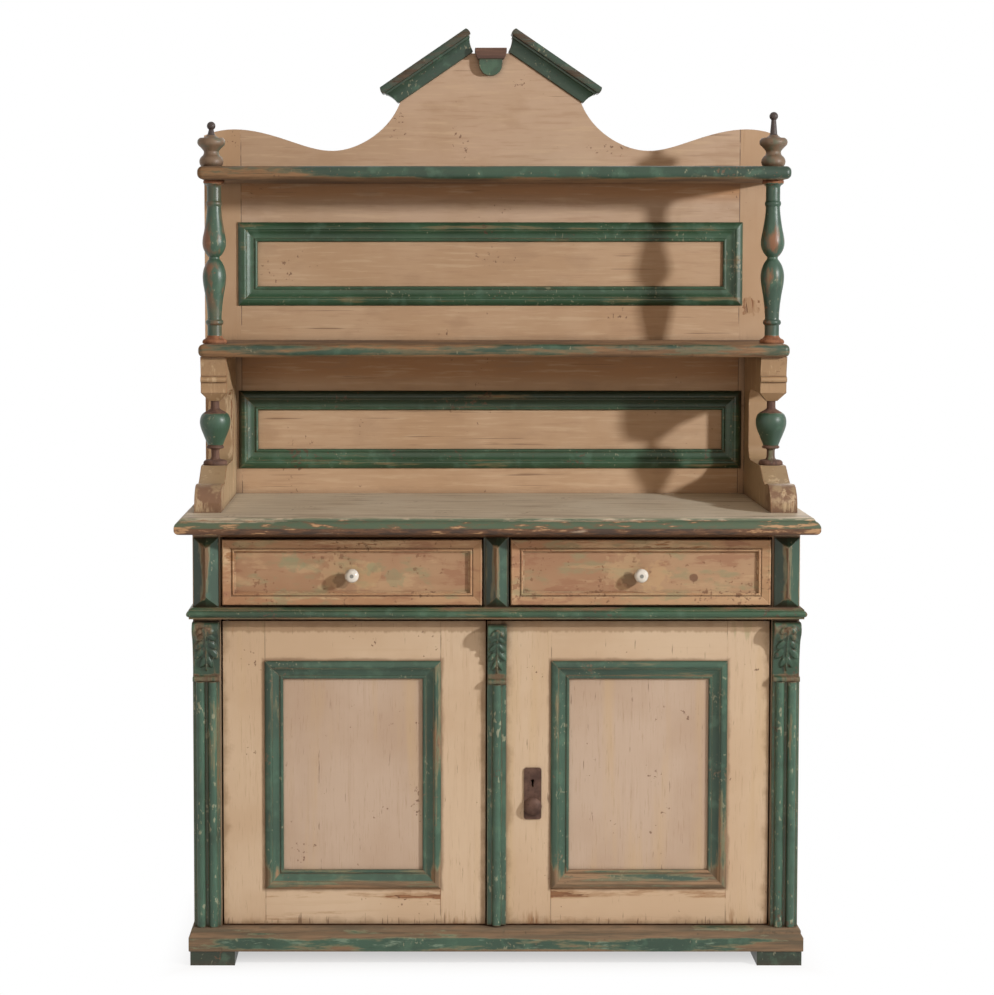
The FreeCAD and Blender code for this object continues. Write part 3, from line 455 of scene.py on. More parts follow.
def dusted_and_shaded(place, colour, coarse, fine):
    """The rack's boards: a painted shadow under the shelves, streaks, cracks, and seams at their ends."""
    x, y, z = split(place)
    # A painted shadow: the boards just under each shelf are darkened to a deeper, warmer colour.
    for shelf, reach in (("shelf_middle", 0.075), ("shelf_upper", 0.05)):
        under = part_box(shelf)[0].z - z
        shelf_shadow = ramp(under, reach, reach - 0.035) * (under > 0) * (y < RACK_FRONT + 0.009)
        colour = over(colour, shelf_shadow * 0.85, UNDER_SHELF_SHADE)
    streak = noise(mapped(place, (2, 2, 26)), 4.0, 5.0, 0.65)
    smudge = noise(mapped(place, (3, 3, 6)), 3.0, 4.0)
    colour = over(colour, ramp(streak, 0.52, 0.66) * 0.45, PALE_STREAK)
    colour = over(colour, ramp(streak, 0.46, 0.34) * 0.35, DARK_STREAK)
    colour = over(colour, ramp(smudge, 0.54, 0.68) * 0.35, SMUDGE)
    crack = noise(mapped(place, (1.6, 1.6, 130)), 1.6, 2.0) + (noise(place, 5.0, 3.0) - 0.5) * 0.5
    colour = over(colour, ramp(crack, 0.73, 0.78) * 0.65, CRACK_BROWN)
    return seamed("back_rails", "crest_board")(place, colour, coarse, fine)


print("tints for doors, rack and brackets")

# %% Cream paint: on the boards
cream_stile = painted("cream_stile", CREAM, "Z", wear=-0.2, rub=0.3, chips=0.07, gloss=0.5, patches=2.6,
                      extra=kicked, tint=yellowed_and_shaded)
cream_rail = painted("cream_rail", CREAM, "X", wear=-0.22, rub=0.3, chips=0.08, gloss=0.5, patches=2.8,
                     extra=scraped, tint=soiled_and_shaded_rails)
cream_panel = painted("cream_panel", PANEL, "Z", wear=-0.3, rub=0.1, chips=0.09, gloss=0.5, patches=2.2,
                      tint=yellowed_and_shaded)
rack_board = painted("rack_board", RACK, "X", wear=-0.28, rub=0.25, chips=0.05, gloss=0.5, patches=2.4,
                     tint=dusted_and_shaded)
crest_paint = painted("crest_paint", CREST, "X", wear=-0.28, rub=0.25, chips=0.05, gloss=0.5, patches=2.4,
                      tint=dusted_and_shaded)
rack_stile = painted("rack_stile", RACK, "Z", wear=-0.24, rub=0.3, chips=0.05, gloss=0.5, patches=2.4,
                     extra=scarred)
bracket_cream = painted("bracket_cream", BRACKET, "Z", wear=0.0, rub=0.8, chips=0.1, gloss=0.5, grime=0.9,
                        extra=scuffed, tint=bracket_dirt)
finish_with(cream_stile, "side_left", "side_right", "corner_stiles", "door_left_stiles",
            "door_right_stiles")
finish_with(cream_rail, "door_left_rails", "door_right_rails")
finish_with(cream_panel, "door_left_panel", "door_right_panel")
finish_with(rack_board, "back_rails", "back_panels")
finish_with(crest_paint, "crest_board")
finish_with(rack_stile, "back_stiles")
finish_with(bracket_cream, "bracket_left", "bracket_right")

# %% [markdown]
# ## Green paint
# Mouldings, pilasters, posts and blocks are a blue green that is rubbed through to ochre and brown along
# every arris. The plinth and the shelves are handled and kicked most, so little of their green is left.

# %% Green paint: its colours and places
GREEN = (srgb(58, 88, 71), srgb(45, 69, 55), srgb(128, 120, 90))
GRASS_GREEN = (srgb(54, 86, 62), srgb(42, 66, 46), srgb(120, 110, 78))
DEEP_GREEN = (srgb(48, 76, 58), srgb(38, 60, 46), srgb(118, 104, 76))
CORNICE_GREEN = (srgb(44, 66, 52), srgb(36, 54, 42), srgb(70, 64, 50))
FOOT_GREEN = (srgb(42, 54, 38), srgb(33, 43, 31), srgb(66, 64, 48))
OCHRE_PINE = (srgb(100, 70, 48), srgb(152, 112, 76))
BROWN_PINE = (srgb(86, 66, 50), srgb(132, 108, 80))
TRODDEN_PINE = (srgb(94, 82, 65), srgb(128, 104, 80))
LEAF_PINE = (srgb(84, 68, 52), srgb(116, 96, 74))
SILL_PINE = (srgb(106, 90, 70), srgb(148, 120, 92))
DARK_PINE = (srgb(62, 52, 42), srgb(84, 70, 54))
PLUM_PINE = (srgb(82, 60, 52), srgb(112, 84, 70))
SHELF_PINE = (srgb(100, 76, 54), srgb(146, 114, 82))
BURNT_PINE = (srgb(128, 82, 58), srgb(158, 108, 76))
BLOOM, CHALK, REED_BLOOM = srgb(82, 114, 94), srgb(132, 152, 132), srgb(84, 122, 104)
DARK_GREEN, SHELF_SHADOW_GREEN, LEFT_FACET_SHADE = srgb(44, 62, 50), srgb(32, 44, 32), srgb(38, 46, 34)
PALE_FLECK, REED_FLECK = srgb(152, 150, 124), srgb(158, 160, 136)
ORANGE_BROWN = srgb(140, 92, 64)
SHELF_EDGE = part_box("shelf_middle")[0].y + 0.012
BETWEEN_SHELVES = 1.5
POST_X, POST_Y = 0.582, 0.02
URNS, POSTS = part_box("urn_balusters"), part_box("shelf_posts")
CORBEL_BLOCK = 1.854
BLOCK_HALF = 0.025
print("posts stand at", POST_X, "left and right of the middle")


# %% Green paint: how its colour has changed, and painted shade
def weathered(place, colour, coarse, fine):
    """Lighter bloom where the coat has chalked, darker runs, and pale flecks."""
    colour = over(colour, ramp(noise(place, 26.0, 4.0), 0.52, 0.68) * 0.45, BLOOM)
    colour = over(colour, ramp(fine, 0.55, 0.7) * 0.45, DARK_GREEN)
    flecks = noise(mapped(place, (1, 1, 0.6)), 170.0, 2.0) + (noise(place, 14.0, 2.0) - 0.5) * 0.5
    return over(colour, ramp(flecks, 0.68, 0.74) * 0.55, PALE_FLECK)


def green_with_shelf_shadow(place, colour, coarse, fine):
    """A painted shadow: the length under the middle shelf is darkened to a nearly black green."""
    x, y, z = split(place)
    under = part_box("shelf_middle")[0].z - z
    colour = weathered(place, colour, coarse, fine)
    return over(colour, ramp(under, 0.13, 0.105) * 0.75, SHELF_SHADOW_GREEN)


def chalky(place, colour, coarse, fine):
    """The plinth's green has gone pale and blue in short smears."""
    colour = weathered(place, colour, coarse, fine)
    smear = noise(mapped(place, (7, 7, 34)), 3.0, 5.0, 0.65)
    return over(colour, ramp(smear, 0.55, 0.68) * 0.6, CHALK)


def flecked(place, colour, coarse, fine):
    """The reeds have a chalky bloom, and knocks have left small pale flecks on them."""
    bloom = ramp(noise(place, 20.0, 3.0), 0.3, 0.5) * 0.26
    colour = weathered(place, over(colour, bloom, REED_BLOOM), coarse, fine)
    knocks = noise(mapped(place, (1, 1, 0.5)), 120.0, 2.0) + (noise(place, 9.0, 2.0) - 0.5) * 0.4
    return over(colour, ramp(knocks, 0.62, 0.69) * 0.7, REED_FLECK)


def shaded_left_facets(place, colour, coarse, fine):
    """Painted shade: the left-hand facet of each block, turned from the key lamp, is darkened to a nearly
    black green.
    """
    x, y, z = split(place)
    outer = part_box("drawer_blocks")[1].x - BLOCK_HALF
    colour = weathered(place, colour, coarse, fine)
    for middle in (-outer, 0.0, outer):
        left = (x < middle) * (x > middle - 2 * BLOCK_HALF)
        colour = over(colour, left * 0.7, LEFT_FACET_SHADE)
    return colour


def patched_post(place, colour, coarse, fine):
    """The widest turns of a post are rubbed to an orange brown, in soft patches."""
    x, y, z = split(place)
    out = distance(abs(x) - POST_X, y - POST_Y)
    blotch = noise(mapped(place, (26, 26, 10)), 1.0, 4.0, 0.6)
    colour = weathered(place, colour, coarse, fine)
    return over(colour, ramp(out, 0.012, 0.022) * ramp(blotch, 0.48, 0.62) * 0.85, ORANGE_BROWN)


print("tints for mouldings, reeds, blocks, posts and plinth")


# %% Green paint: where it is bare
def rubbed_front(node, depth, amount):
    """Rubs what stands furthest forward: the ridge of a moulding, the crown of a reed."""
    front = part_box(node)[0].y

    def rubbed(place):
        x, y, z = split(place)
        return ramp(y, front + depth, front) * amount
    return rubbed


def worn_top_face(place):
    """Shelves are worn on top, along their lower lips, and at the left end of the upper one."""
    x, y, z = split(place)
    top = ramp(y, SHELF_EDGE - 0.01, SHELF_EDGE + 0.004) * 0.7
    left_end = ramp(x, -0.3, -0.5) * (z > BETWEEN_SHELVES) * 0.6
    level = top + left_end + (z < BETWEEN_SHELVES) * 0.46
    for shelf in ("shelf_middle", "shelf_upper"):
        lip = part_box(shelf)[0].z + 0.002
        level = level + ramp(abs(z - lip), 0.005, 0.001) * 0.34
    return level


def rubbed_turning(place):
    """The ends of the posts and the necks and feet of the urns have lost their green."""
    x, y, z = split(place)
    level = 0.0
    for (low, high), foot, neck in ((URNS, 0.042, 0.026), (POSTS, 0.018, 0.008)):
        bottom, top = low.z + foot, high.z - neck
        middle, half = (bottom + top) / 2, (top - bottom) / 2
        ends = ramp(abs(z - middle), half - 0.002, half + 0.003)
        level = level + ends * (z > low.z) * (z < high.z) * 1.1
    return level


def rubbed_lips(place):
    """The upper and lower lips of the waist moulding have lost most of their green."""
    x, y, z = split(place)
    low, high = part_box("waist_moulding")
    middle, height = (low.z + high.z) / 2, high.z - low.z
    return ramp(abs(z - middle), height * 0.24, height * 0.44) * 0.42


def kicked_plinth(place):
    """Shoes have bared the plinth's sloping top and its corners, and scraped its lower edge."""
    x, y, z = split(place)
    low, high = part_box("plinth")
    slope = ramp(z, high.z - 0.022, high.z - 0.015) * 0.75
    corner = ramp(abs(x), high.x - 0.12, high.x - 0.03) * 0.4
    return slope + ramp(z, low.z + 0.008, low.z) * 0.4 + corner


def worn_sill(box):
    """A door's moulding is rubbed on its ridge and rim, and most of all along its lowest length."""
    low, high = box

    def rubbed(place):
        x, y, z = split(place)
        rim = least(*insets(box, x, z))
        ridge = ramp(y, low.y + 0.003, low.y) * 0.1
        sill = ramp(z, low.z + 0.06, low.z + 0.03) * 0.46
        lip = ramp(rim, 0.006, 0.002) * ramp(z, low.z + 0.2, low.z) * 0.3
        band = ramp(rim, 0.0155, 0.0135) * ramp(z, high.z - 0.05, high.z - 0.2) * 0.24
        return ridge + sill + lip + band
    return rubbed


def worn_capital(place):
    """The proud lobes of the leaf and the plain foot under it are rubbed brown."""
    x, y, z = split(place)
    low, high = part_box("corner_capitals")
    return ramp(y, low.y + 0.012, low.y) * 0.2 + ramp(z, low.z + 0.017, low.z + 0.012) * 0.45


def corbel_block(place):
    """The corbel's block has no green left; its half-round drop has."""
    x, y, z = split(place)
    return (z > CORBEL_BLOCK) * 1.4


print("wear for mouldings, shelves, turnings, plinth and capitals")


# %% Green paint: on the mouldings, pilasters and blocks
def green(name, along, wear, rub, patches=3.0, coats=GREEN, pine=OCHRE_PINE, tint=weathered, **others):
    return painted(name, coats, along, wear, rub, chips=0.12, gloss=0.4, patches=patches,
                   pine=pine, tint=tint, **others)


for name in ("door_left_moulding", "door_right_moulding"):
    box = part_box(name)
    coat = green(name + "_green", framed(box), -0.08, 0.55, pine=SILL_PINE, extra=worn_sill(box))
    finish_with(coat, name)
for name, tint in (("upper_panel_moulding", weathered), ("lower_panel_moulding", green_with_shelf_shadow)):
    coat = green(name + "_green", "XY", -0.12, 0.5, coats=GRASS_GREEN, pine=BROWN_PINE, tint=tint,
                 extra=rubbed_front(name, 0.004, 0.24))
    finish_with(coat, name)
waist_green = green("waist_green", "XY", -0.1, 0.5, coats=GRASS_GREEN, pine=BROWN_PINE, extra=rubbed_lips)
finish_with(waist_green, "waist_moulding")
for name, wear, rub, depth, amount, tint in (
        ("corner_pilasters", -0.12, 0.8, 0.004, 0.2, flecked),
        ("astragal", -0.12, 0.8, 0.004, 0.2, flecked),
        ("drawer_blocks", -0.08, 0.5, 0.011, 0.68, shaded_left_facets),
        ("drawer_divider", -0.1, 0.4, 0.002, 0.0, weathered)):
    coat = green(name + "_green", "Z", wear, rub, pine=BROWN_PINE, tint=tint,
                 extra=rubbed_front(name, depth, amount))
    finish_with(coat, name)
for name in ("cornice_left", "cornice_right"):
    coat = green(name + "_green", "XY", -0.1, 0.5, coats=CORNICE_GREEN, pine=DARK_PINE,
                 extra=rubbed_front(name, 0.006, 0.5))
    finish_with(coat, name)

# %% Green paint: on the corbel, turnings, plinth, feet and shelves
corbel_green = green("corbel_green", "X", -0.1, 0.5, coats=DEEP_GREEN, pine=PLUM_PINE, extra=corbel_block)
finish_with(corbel_green, "crest_corbel")
urn_green = green("urn_green", "Z", -0.1, 0.4, 2.6, pine=PLUM_PINE, extra=rubbed_turning)
finish_with(urn_green, "urn_balusters")
post_green = green("post_green", "Z", -0.08, 0.4, 2.6, pine=BURNT_PINE, tint=patched_post,
                   extra=rubbed_turning)
finish_with(post_green, "shelf_posts")
plinth_green = green("plinth_green", "XY", 0.27, 0.5, 4.4, pine=TRODDEN_PINE, tint=chalky,
                     extra=kicked_plinth)
finish_with(plinth_green, "plinth")
foot_green = green("foot_green", "XY", -0.14, 0.4, coats=FOOT_GREEN, grime=0.8)
finish_with(foot_green, "feet")
shelf_green = green("shelf_green", "XY", 0.0, 0.4, coats=DEEP_GREEN, pine=SHELF_PINE, extra=worn_top_face)
finish_with(shelf_green, "shelf_middle", "shelf_upper")
leaf_green = green("leaf_green", "Z", 0.16, 0.6, 3.6, coats=DEEP_GREEN, pine=LEAF_PINE, extra=worn_capital)

# %% [markdown]
# ## Carved leaves
# Each pilaster ends in a block with a hanging leaf cut into it: a broad body with a midrib, pairs of lobes
# that grow down to the widest one, and a tip above a plain foot. A carver sets the ground back and leaves
# the lobes standing. Here the block of the construction model is copied, its front is moved back, lobes are
# laid on it, and a remesh makes one skin of them, as a chisel does of one piece of wood.

# %% Carved leaves: their shape, in millimetres
# Each swelling is (across, up, length, width, turn in degrees). Each bulge is (up, how far it stands out).
MM = 0.001
GROUND_CUT = 4.5 * MM
FOOT_TOP = 13 * MM
WHOLE_WIDTH = 54 * MM
VOXEL = 1.0 * MM
BULGE = [(12, 10), (36, 10.5), (62, 15), (88, 25), (104, 35), (121, 30)]
BODY = [(0, 100, 18, 12, 0), (0, 72, 26, 14, 0), (0, 45, 19, 9, 0)]
LOBES = [(14, 57, 13, 7, 40), (12.5, 75, 12, 6.5, 42), (11, 92, 11, 6, 40), (10, 107, 9, 5.5, 36),
         (7, 39, 12, 5.5, 22)]
RIB = [(0, up, 9, 2.4, 0) for up in (30, 42, 54, 66, 78, 90, 102)]


def bulge_at(up):
    """How far the block stands out at a height above its bottom, and its slope there, in millimetres."""
    for (low, near), (high, far) in zip(BULGE, BULGE[1:]):
        if up <= high:
            slope = (far - near) / (high - low)
            return near + (up - low) * slope, slope
    return BULGE[-1][1], 0.0


print("swellings in a leaf:", len(BODY) + 2 * len(LOBES) + len(RIB))


# %% Carved leaves: the tools
def only(piece):
    bpy.ops.object.select_all(action="DESELECT")
    piece.select_set(True)
    bpy.context.view_layer.objects.active = piece


def pick_faces(piece, test):
    """Selects the faces that pass a test of their middle and normal, and goes to edit mode."""
    bpy.ops.object.mode_set(mode="EDIT")
    bpy.ops.mesh.select_mode(type="FACE")
    bpy.ops.mesh.select_all(action="DESELECT")
    bpy.ops.object.mode_set(mode="OBJECT")
    for face in piece.data.polygons:
        face.select = test(face.center, face.normal)
    bpy.ops.object.mode_set(mode="EDIT")


def apply_modifier(piece, kind, **settings):
    modifier = piece.modifiers.new(kind.lower(), kind)
    for name, value in settings.items():
        setattr(modifier, name, value)
    only(piece)
    bpy.ops.object.modifier_apply(modifier=modifier.name)


def lobe(middle, face, bottom, wide, across, up, length, width, turn, sunk, thick):
    """One egg-shaped swelling of the leaf, sunk into the block's front."""
    out, slope = bulge_at(up)
    tilt = Matrix.Rotation(math.atan(slope), 3, "X") @ Matrix.Rotation(math.radians(turn), 3, "Y")
    place = (middle + across * wide * MM, face - (out - sunk) * MM, bottom + up * MM)
    bpy.ops.mesh.primitive_uv_sphere_add(segments=16, ring_count=10, radius=MM, location=place,
                                         rotation=tilt.to_euler(), scale=(width * wide, thick, length))
    return bpy.context.object


print("carving tools ready")


# %% Carved leaves: three capitals
def carved_capital(name, node, body, side):
    block = bpy.data.objects.new(name, nodes[node].data.copy())
    scene.collection.objects.link(block)
    only(block)
    pick_faces(block, lambda middle, normal: True)
    bpy.ops.mesh.remove_doubles(threshold=1e-5)
    pick_faces(block, lambda middle, normal: middle.x * side < 0 and node == "corner_capitals")
    bpy.ops.mesh.delete(type="FACE")
    bpy.ops.object.mode_set(mode="OBJECT")
    xs, ys, zs = zip(*(vertex.co for vertex in block.data.vertices))
    middle, face, bottom = (min(xs) + max(xs)) / 2, max(ys), min(zs)
    wide = (max(xs) - min(xs)) / WHOLE_WIDTH
    pick_faces(block, lambda at, normal: normal.y < -0.1 and at.z > bottom + FOOT_TOP)
    bpy.ops.transform.translate(value=(0, GROUND_CUT, 0))
    bpy.ops.object.mode_set(mode="OBJECT")
    parts = [block]
    for swellings, sunk, thick in ((BODY, 4.2, 3.2), (LOBES, 3.2, 4.5), (RIB, 2.6, 4.0)):
        for across, up, length, width, turn in swellings:
            for flip in ((1, -1) if across else (1,)):
                parts.append(lobe(middle, face, bottom, wide, across * flip, up, length, width,
                                  -turn * flip, sunk, thick))
    only(block)
    for part in parts:
        part.select_set(True)
    bpy.ops.object.join()
    apply_modifier(block, "REMESH", mode="VOXEL", voxel_size=VOXEL)
    apply_modifier(block, "SMOOTH", factor=0.5, iterations=3)
    only(block)
    bpy.ops.object.shade_smooth()
    block.data.materials.clear()
    block.data.materials.append(leaf_green)
    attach(block, body)
    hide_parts(node)
    print(name, len(block.data.polygons), "faces")


carved_capital("leaf_capital_left", "corner_capitals", "carcase", -1)
carved_capital("leaf_capital_right", "corner_capitals", "carcase", 1)
carved_capital("leaf_capital_middle", "astragal_capital", "door_right", 1)

# %% [markdown]
# ## Rounded shelf fronts
# The shelves have full round fronts and ends. A cube is added at the size and place of each shelf of the
# construction model, all its edges but those at the back are picked by place, and a bevel with a few
# segments rounds them.

# %% Rounded shelf fronts
NOSE = 11 * MM
NOSE_SEGMENTS = 6
SMOOTH_BELOW = math.radians(40)


def rounded_shelf(node):
    low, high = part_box(node)
    bpy.ops.object.select_all(action="DESELECT")
    bpy.ops.mesh.primitive_cube_add(size=1, location=(low + high) / 2, scale=high - low)
    shelf = bpy.context.object
    shelf.name = node + "_rounded"
    bpy.ops.object.transform_apply(location=True, rotation=True, scale=True)
    bpy.ops.object.mode_set(mode="EDIT")
    bpy.ops.mesh.select_mode(type="EDGE")
    bpy.ops.mesh.select_all(action="DESELECT")
    bpy.ops.object.mode_set(mode="OBJECT")
    for edge in shelf.data.edges:
        edge.select = not all(shelf.data.vertices[i].co.y > high.y - MM for i in edge.vertices)
    bpy.ops.object.mode_set(mode="EDIT")
    bpy.ops.mesh.bevel(offset=NOSE, segments=NOSE_SEGMENTS, affect="EDGES")
    bpy.ops.object.mode_set(mode="OBJECT")
    bpy.ops.object.shade_smooth_by_angle(angle=SMOOTH_BELOW)
    shelf.data.materials.append(shelf_green)
    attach(shelf, "carcase")
    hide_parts(node)
    print(shelf.name, len(shelf.data.polygons), "faces")


rounded_shelf("shelf_middle")
rounded_shelf("shelf_upper")

# %% [markdown]
# ## Bare wood
# The countertop has been scrubbed to grey brown wood, with a line of green left in the groove above its
# nose. The drawers were stripped to a pinkish wood with traces of older paint round the knobs, and the
# boards that nobody sees were never painted.

# %% Bare wood: the countertop
TOP_WOOD = (srgb(206, 195, 175), srgb(193, 179, 157), srgb(206, 190, 168))
TOP_PINE = (srgb(116, 90, 70), srgb(150, 124, 98))
SCRUBBED_PALE, SCRUBBED_BROWN, TOP_CRACK = srgb(214, 202, 182), srgb(146, 122, 98), srgb(92, 70, 54)
NOSE_DARK, NOSE_BROWN, NOSE_PALE = srgb(70, 53, 43), srgb(104, 74, 53), srgb(184, 146, 108)
NOSE_UNDER_SHADE, GROOVE_GREEN, STRIP_GREEN = srgb(66, 48, 40), srgb(76, 98, 76), srgb(104, 106, 82)
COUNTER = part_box("countertop")[1].z
NOSE_TOP, GROOVE, NOSE_FOOT = COUNTER - 0.003, COUNTER - 0.011, COUNTER - 0.032
STRIP_BACK, STRIP_FRONT = -0.236, -0.25


def scrubbed_and_shaded_top(place, colour, coarse, fine):
    """Pale and brown streaks on top, a ragged brown nose with painted shade on its underside, and green left
    in its groove and behind it.
    """
    x, y, z = split(place)
    streak = noise(mapped(place, (1.2, 14, 14)), 4.0, 6.0, 0.7)
    colour = over(colour, ramp(streak, 0.5, 0.64) * 0.7, SCRUBBED_PALE)
    colour = over(colour, ramp(streak, 0.46, 0.36) * 0.7, SCRUBBED_BROWN)
    dark = noise(mapped(place, (2, 60, 10)), 3.0, 4.0, 0.7) + ramp(y, -0.13, -0.24) * 0.1
    colour = over(colour, ramp(dark, 0.62, 0.7) * 0.6, TOP_CRACK)
    ragged, ends = noise(mapped(place, (5, 5, 30)), 4.0, 5.0, 0.65), ramp(abs(x), 0.4, 0.6)
    brown = over(NOSE_DARK, ramp(ragged + ends * 0.1, 0.42, 0.56), NOSE_BROWN)
    brown = over(brown, ramp(ragged + ends * 0.06, 0.58, 0.66), NOSE_PALE)
    # Painted shade: the underside of the nose is darkened.
    brown = over(brown, ramp(z, NOSE_FOOT, NOSE_FOOT - 0.006) * 0.7, NOSE_UNDER_SHADE)
    colour = over(colour, ramp(z, NOSE_TOP, NOSE_TOP - 0.003), brown)
    line = ramp(abs(z - GROOVE), 0.0108, 0.0085) * ramp(ragged, 0.64, 0.5)
    colour = over(colour, line * 0.85, GROOVE_GREEN)
    broken = ramp(noise(mapped(place, (4, 20, 4)), 3.0, 4.0), 0.46, 0.6)
    strip = ramp(y, STRIP_BACK, STRIP_FRONT) * broken
    return over(colour, strip * (z > NOSE_TOP) * 0.6, STRIP_GREEN)


top_wood = painted("scrubbed_wood", TOP_WOOD, "X", wear=-0.1, rub=0.3, chips=0.1, gloss=0.62,
                   pine=TOP_PINE, tint=scrubbed_and_shaded_top)
finish_with(top_wood, "countertop")

# %% Bare wood: the drawers
# Marks round a knob are (across, up, size, ragged, amount, colour); green marks are (x, z, size). The third
# knob mark, dark, down and left of the knob, is a painted shadow of the knob.
KNOB_LEFT, KNOB_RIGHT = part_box("drawer_left_knob"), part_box("drawer_right_knob")
KNOB_MARKS = ((-0.03, 0.004, 0.034, 0.9, 0.35, srgb(200, 174, 134)),
              (0.03, -0.004, 0.028, 0.9, 0.4, srgb(196, 164, 122)),
              (-0.02, -0.012, 0.016, 0.4, 0.5, srgb(84, 58, 38)))
OLD_GREEN = srgb(136, 146, 114)
GREEN_MARKS = ((-0.205, 0.783, 0.018), (-0.25, 0.8, 0.011), (-0.43, 0.742, 0.018), (-0.41, 0.814, 0.018))
KNOT_X, KNOT_Z, KNOT, KNOT_BROWN = 0.396, 0.783, 0.009, srgb(104, 68, 48)
GREEN_TRACE, RED_TRACE = srgb(146, 142, 108), srgb(150, 104, 78)
PALE_TRACE, SPECK_BROWN = srgb(204, 176, 138), srgb(116, 74, 50)
FIELD_WOOD = (srgb(178, 145, 113), srgb(164, 126, 96), srgb(184, 152, 116))
FIELD_PINE = (srgb(128, 88, 62), srgb(166, 124, 90))
BORDER_WOOD = (srgb(186, 150, 114), srgb(168, 126, 92), srgb(206, 178, 142))
BORDER_PINE = (srgb(120, 84, 58), srgb(168, 126, 88))


def stripped_with_knob_shadows(place, colour, coarse, fine):
    """Traces of green, red and pale paint, pale marks and a painted shadow round the knobs, old green,
    specks and one knot.
    """
    traces = noise(mapped(place, (4, 4, 11)), 3.0, 4.0, 0.6)
    colour = over(colour, ramp(traces, 0.54, 0.66) * 0.65, GREEN_TRACE)
    colour = over(colour, ramp(traces, 0.46, 0.36) * 0.6, RED_TRACE)
    pale = noise(mapped(place, (3, 3, 10), (2, 5, 1)), 4.0, 4.0, 0.6)
    colour = over(colour, ramp(pale, 0.54, 0.68) * 0.4, PALE_TRACE)
    for low, high in (KNOB_LEFT, KNOB_RIGHT):
        middle = (low + high) / 2
        for across, up, size, ragged, amount, tone in KNOB_MARKS:
            mark = spot(place, middle.x + across, middle.z + up, size, ragged)
            colour = over(colour, mark * amount, tone)
    for x, z, size in GREEN_MARKS:
        colour = over(colour, spot(place, x, z, size, 1.1) * 0.38, OLD_GREEN)
    specks = noise(place, 90.0, 3.0) + (noise(place, 9.0, 2.0) - 0.5) * 0.6
    colour = over(colour, ramp(specks, 0.66, 0.72) * 0.6, SPECK_BROWN)
    return over(colour, spot(place, KNOT_X, KNOT_Z, KNOT, 0.25) * 0.8, KNOT_BROWN)


field_wood = painted("drawer_field", FIELD_WOOD, "X", wear=-0.1, rub=0.3, chips=0.1, gloss=0.6,
                     pine=FIELD_PINE, tint=stripped_with_knob_shadows)
border_wood = painted("drawer_border", BORDER_WOOD, "X", wear=0.04, rub=0.5, chips=0.16, gloss=0.6,
                      grime=1.0, pine=BORDER_PINE, tint=stripped_with_knob_shadows)
finish_with(field_wood, "drawer_left_front", "drawer_right_front")
finish_with(border_wood, "drawer_left_moulding", "drawer_right_moulding")

# %% Bare wood: hidden boards and finials
LYING_WOOD = (srgb(158, 118, 82), srgb(140, 100, 68), srgb(150, 112, 78))
LYING_PINE = (srgb(110, 76, 50), srgb(150, 108, 74))
UPRIGHT_WOOD = (srgb(150, 112, 78), srgb(132, 96, 66), srgb(140, 104, 72))
UPRIGHT_PINE = (srgb(106, 74, 50), srgb(144, 104, 72))
FINIAL_WOOD = (srgb(140, 118, 94), srgb(118, 97, 78), srgb(152, 130, 102))
FINIAL_PINE = (srgb(84, 60, 46), srgb(122, 90, 66))
FINIAL_GREEN, SPIKE_IRON = srgb(82, 100, 84), srgb(62, 50, 46)
SPIKE_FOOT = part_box("shelf_upper")[1].z + 0.066


def spiked(place, colour, coarse, fine):
    """Traces of green are left on the turned wood, which ends where the iron spike is let in."""
    x, y, z = split(place)
    colour = over(colour, ramp(noise(place, 34.0, 4.0), 0.5, 0.64) * 0.6, FINIAL_GREEN)
    return over(colour, z > SPIKE_FOOT, SPIKE_IRON)


bare_pine = painted("bare_pine", LYING_WOOD, "X", wear=0.0, rub=0.3, chips=0.05, gloss=0.7,
                    pine=LYING_PINE)
upright_pine = painted("upright_pine", UPRIGHT_WOOD, "Z", wear=0.0, rub=0.3, chips=0.05, gloss=0.7,
                       pine=UPRIGHT_PINE)
finial_wood = painted("finial_wood", FINIAL_WOOD, "Z", wear=-0.3, rub=0.4, chips=0.08, gloss=0.5,
                      pine=FINIAL_PINE, tint=spiked)
finish_with(bare_pine, "bottom_board", "bottom_rail", "waist_rail", "top_rail", "drawer_runners",
            "cupboard_shelf", "shelf_cleats", "drawer_left_box", "drawer_right_box")
finish_with(upright_pine, "base_back_planks")
finish_with(finial_wood, "finials")

# %% [markdown]
# ## Iron, steel and porcelain
# The lock is rusted brown, the pivot pins are dull steel, and the drawer knobs are white glaze round a grey
# screw.

# %% Iron, steel and porcelain
GLAZE, GLAZE_SHADE = srgb(226, 222, 214), srgb(208, 202, 190)
GLAZE_SPECK, SCREW_GREY = srgb(120, 100, 80), srgb(132, 134, 128)


def rusted(name, dark, pale):
    material, place = new_material(name)
    spots = noise(place, 160.0, 5.0, 0.65)
    cloud = noise(place, 35.0, 3.0)
    colour = over(over(dark, ramp(cloud, 0.35, 0.65), pale), ramp(spots, 0.55, 0.7), dark)
    surface(place, colour, 0.55 + spots * 0.3, spots + cloud, relief=0.0004, arris=0.0006,
            constants={"Metallic": 0.35})
    return material


def glazed(name):
    material, place = new_material(name)
    x, y, z = split(place)
    speck, cloud = ramp(noise(place, 320.0, 2.0), 0.7, 0.76), noise(place, 60.0, 3.0)
    colour = over(GLAZE, ramp(cloud, 0.4, 0.7), GLAZE_SHADE)
    colour = over(colour, speck * 0.5, GLAZE_SPECK)
    left, right = [(low + high) / 2 for low, high in (KNOB_LEFT, KNOB_RIGHT)]
    from_screw = distance(least(abs(x - left.x), abs(x - right.x)), z - right.z)
    colour = over(colour, ramp(from_screw, 0.0045, 0.0035), SCREW_GREY)
    surface(place, colour, 0.12 + speck * 0.3, cloud, relief=0.0002, arris=0.0006,
            constants={"Coat Weight": 0.4})
    return material


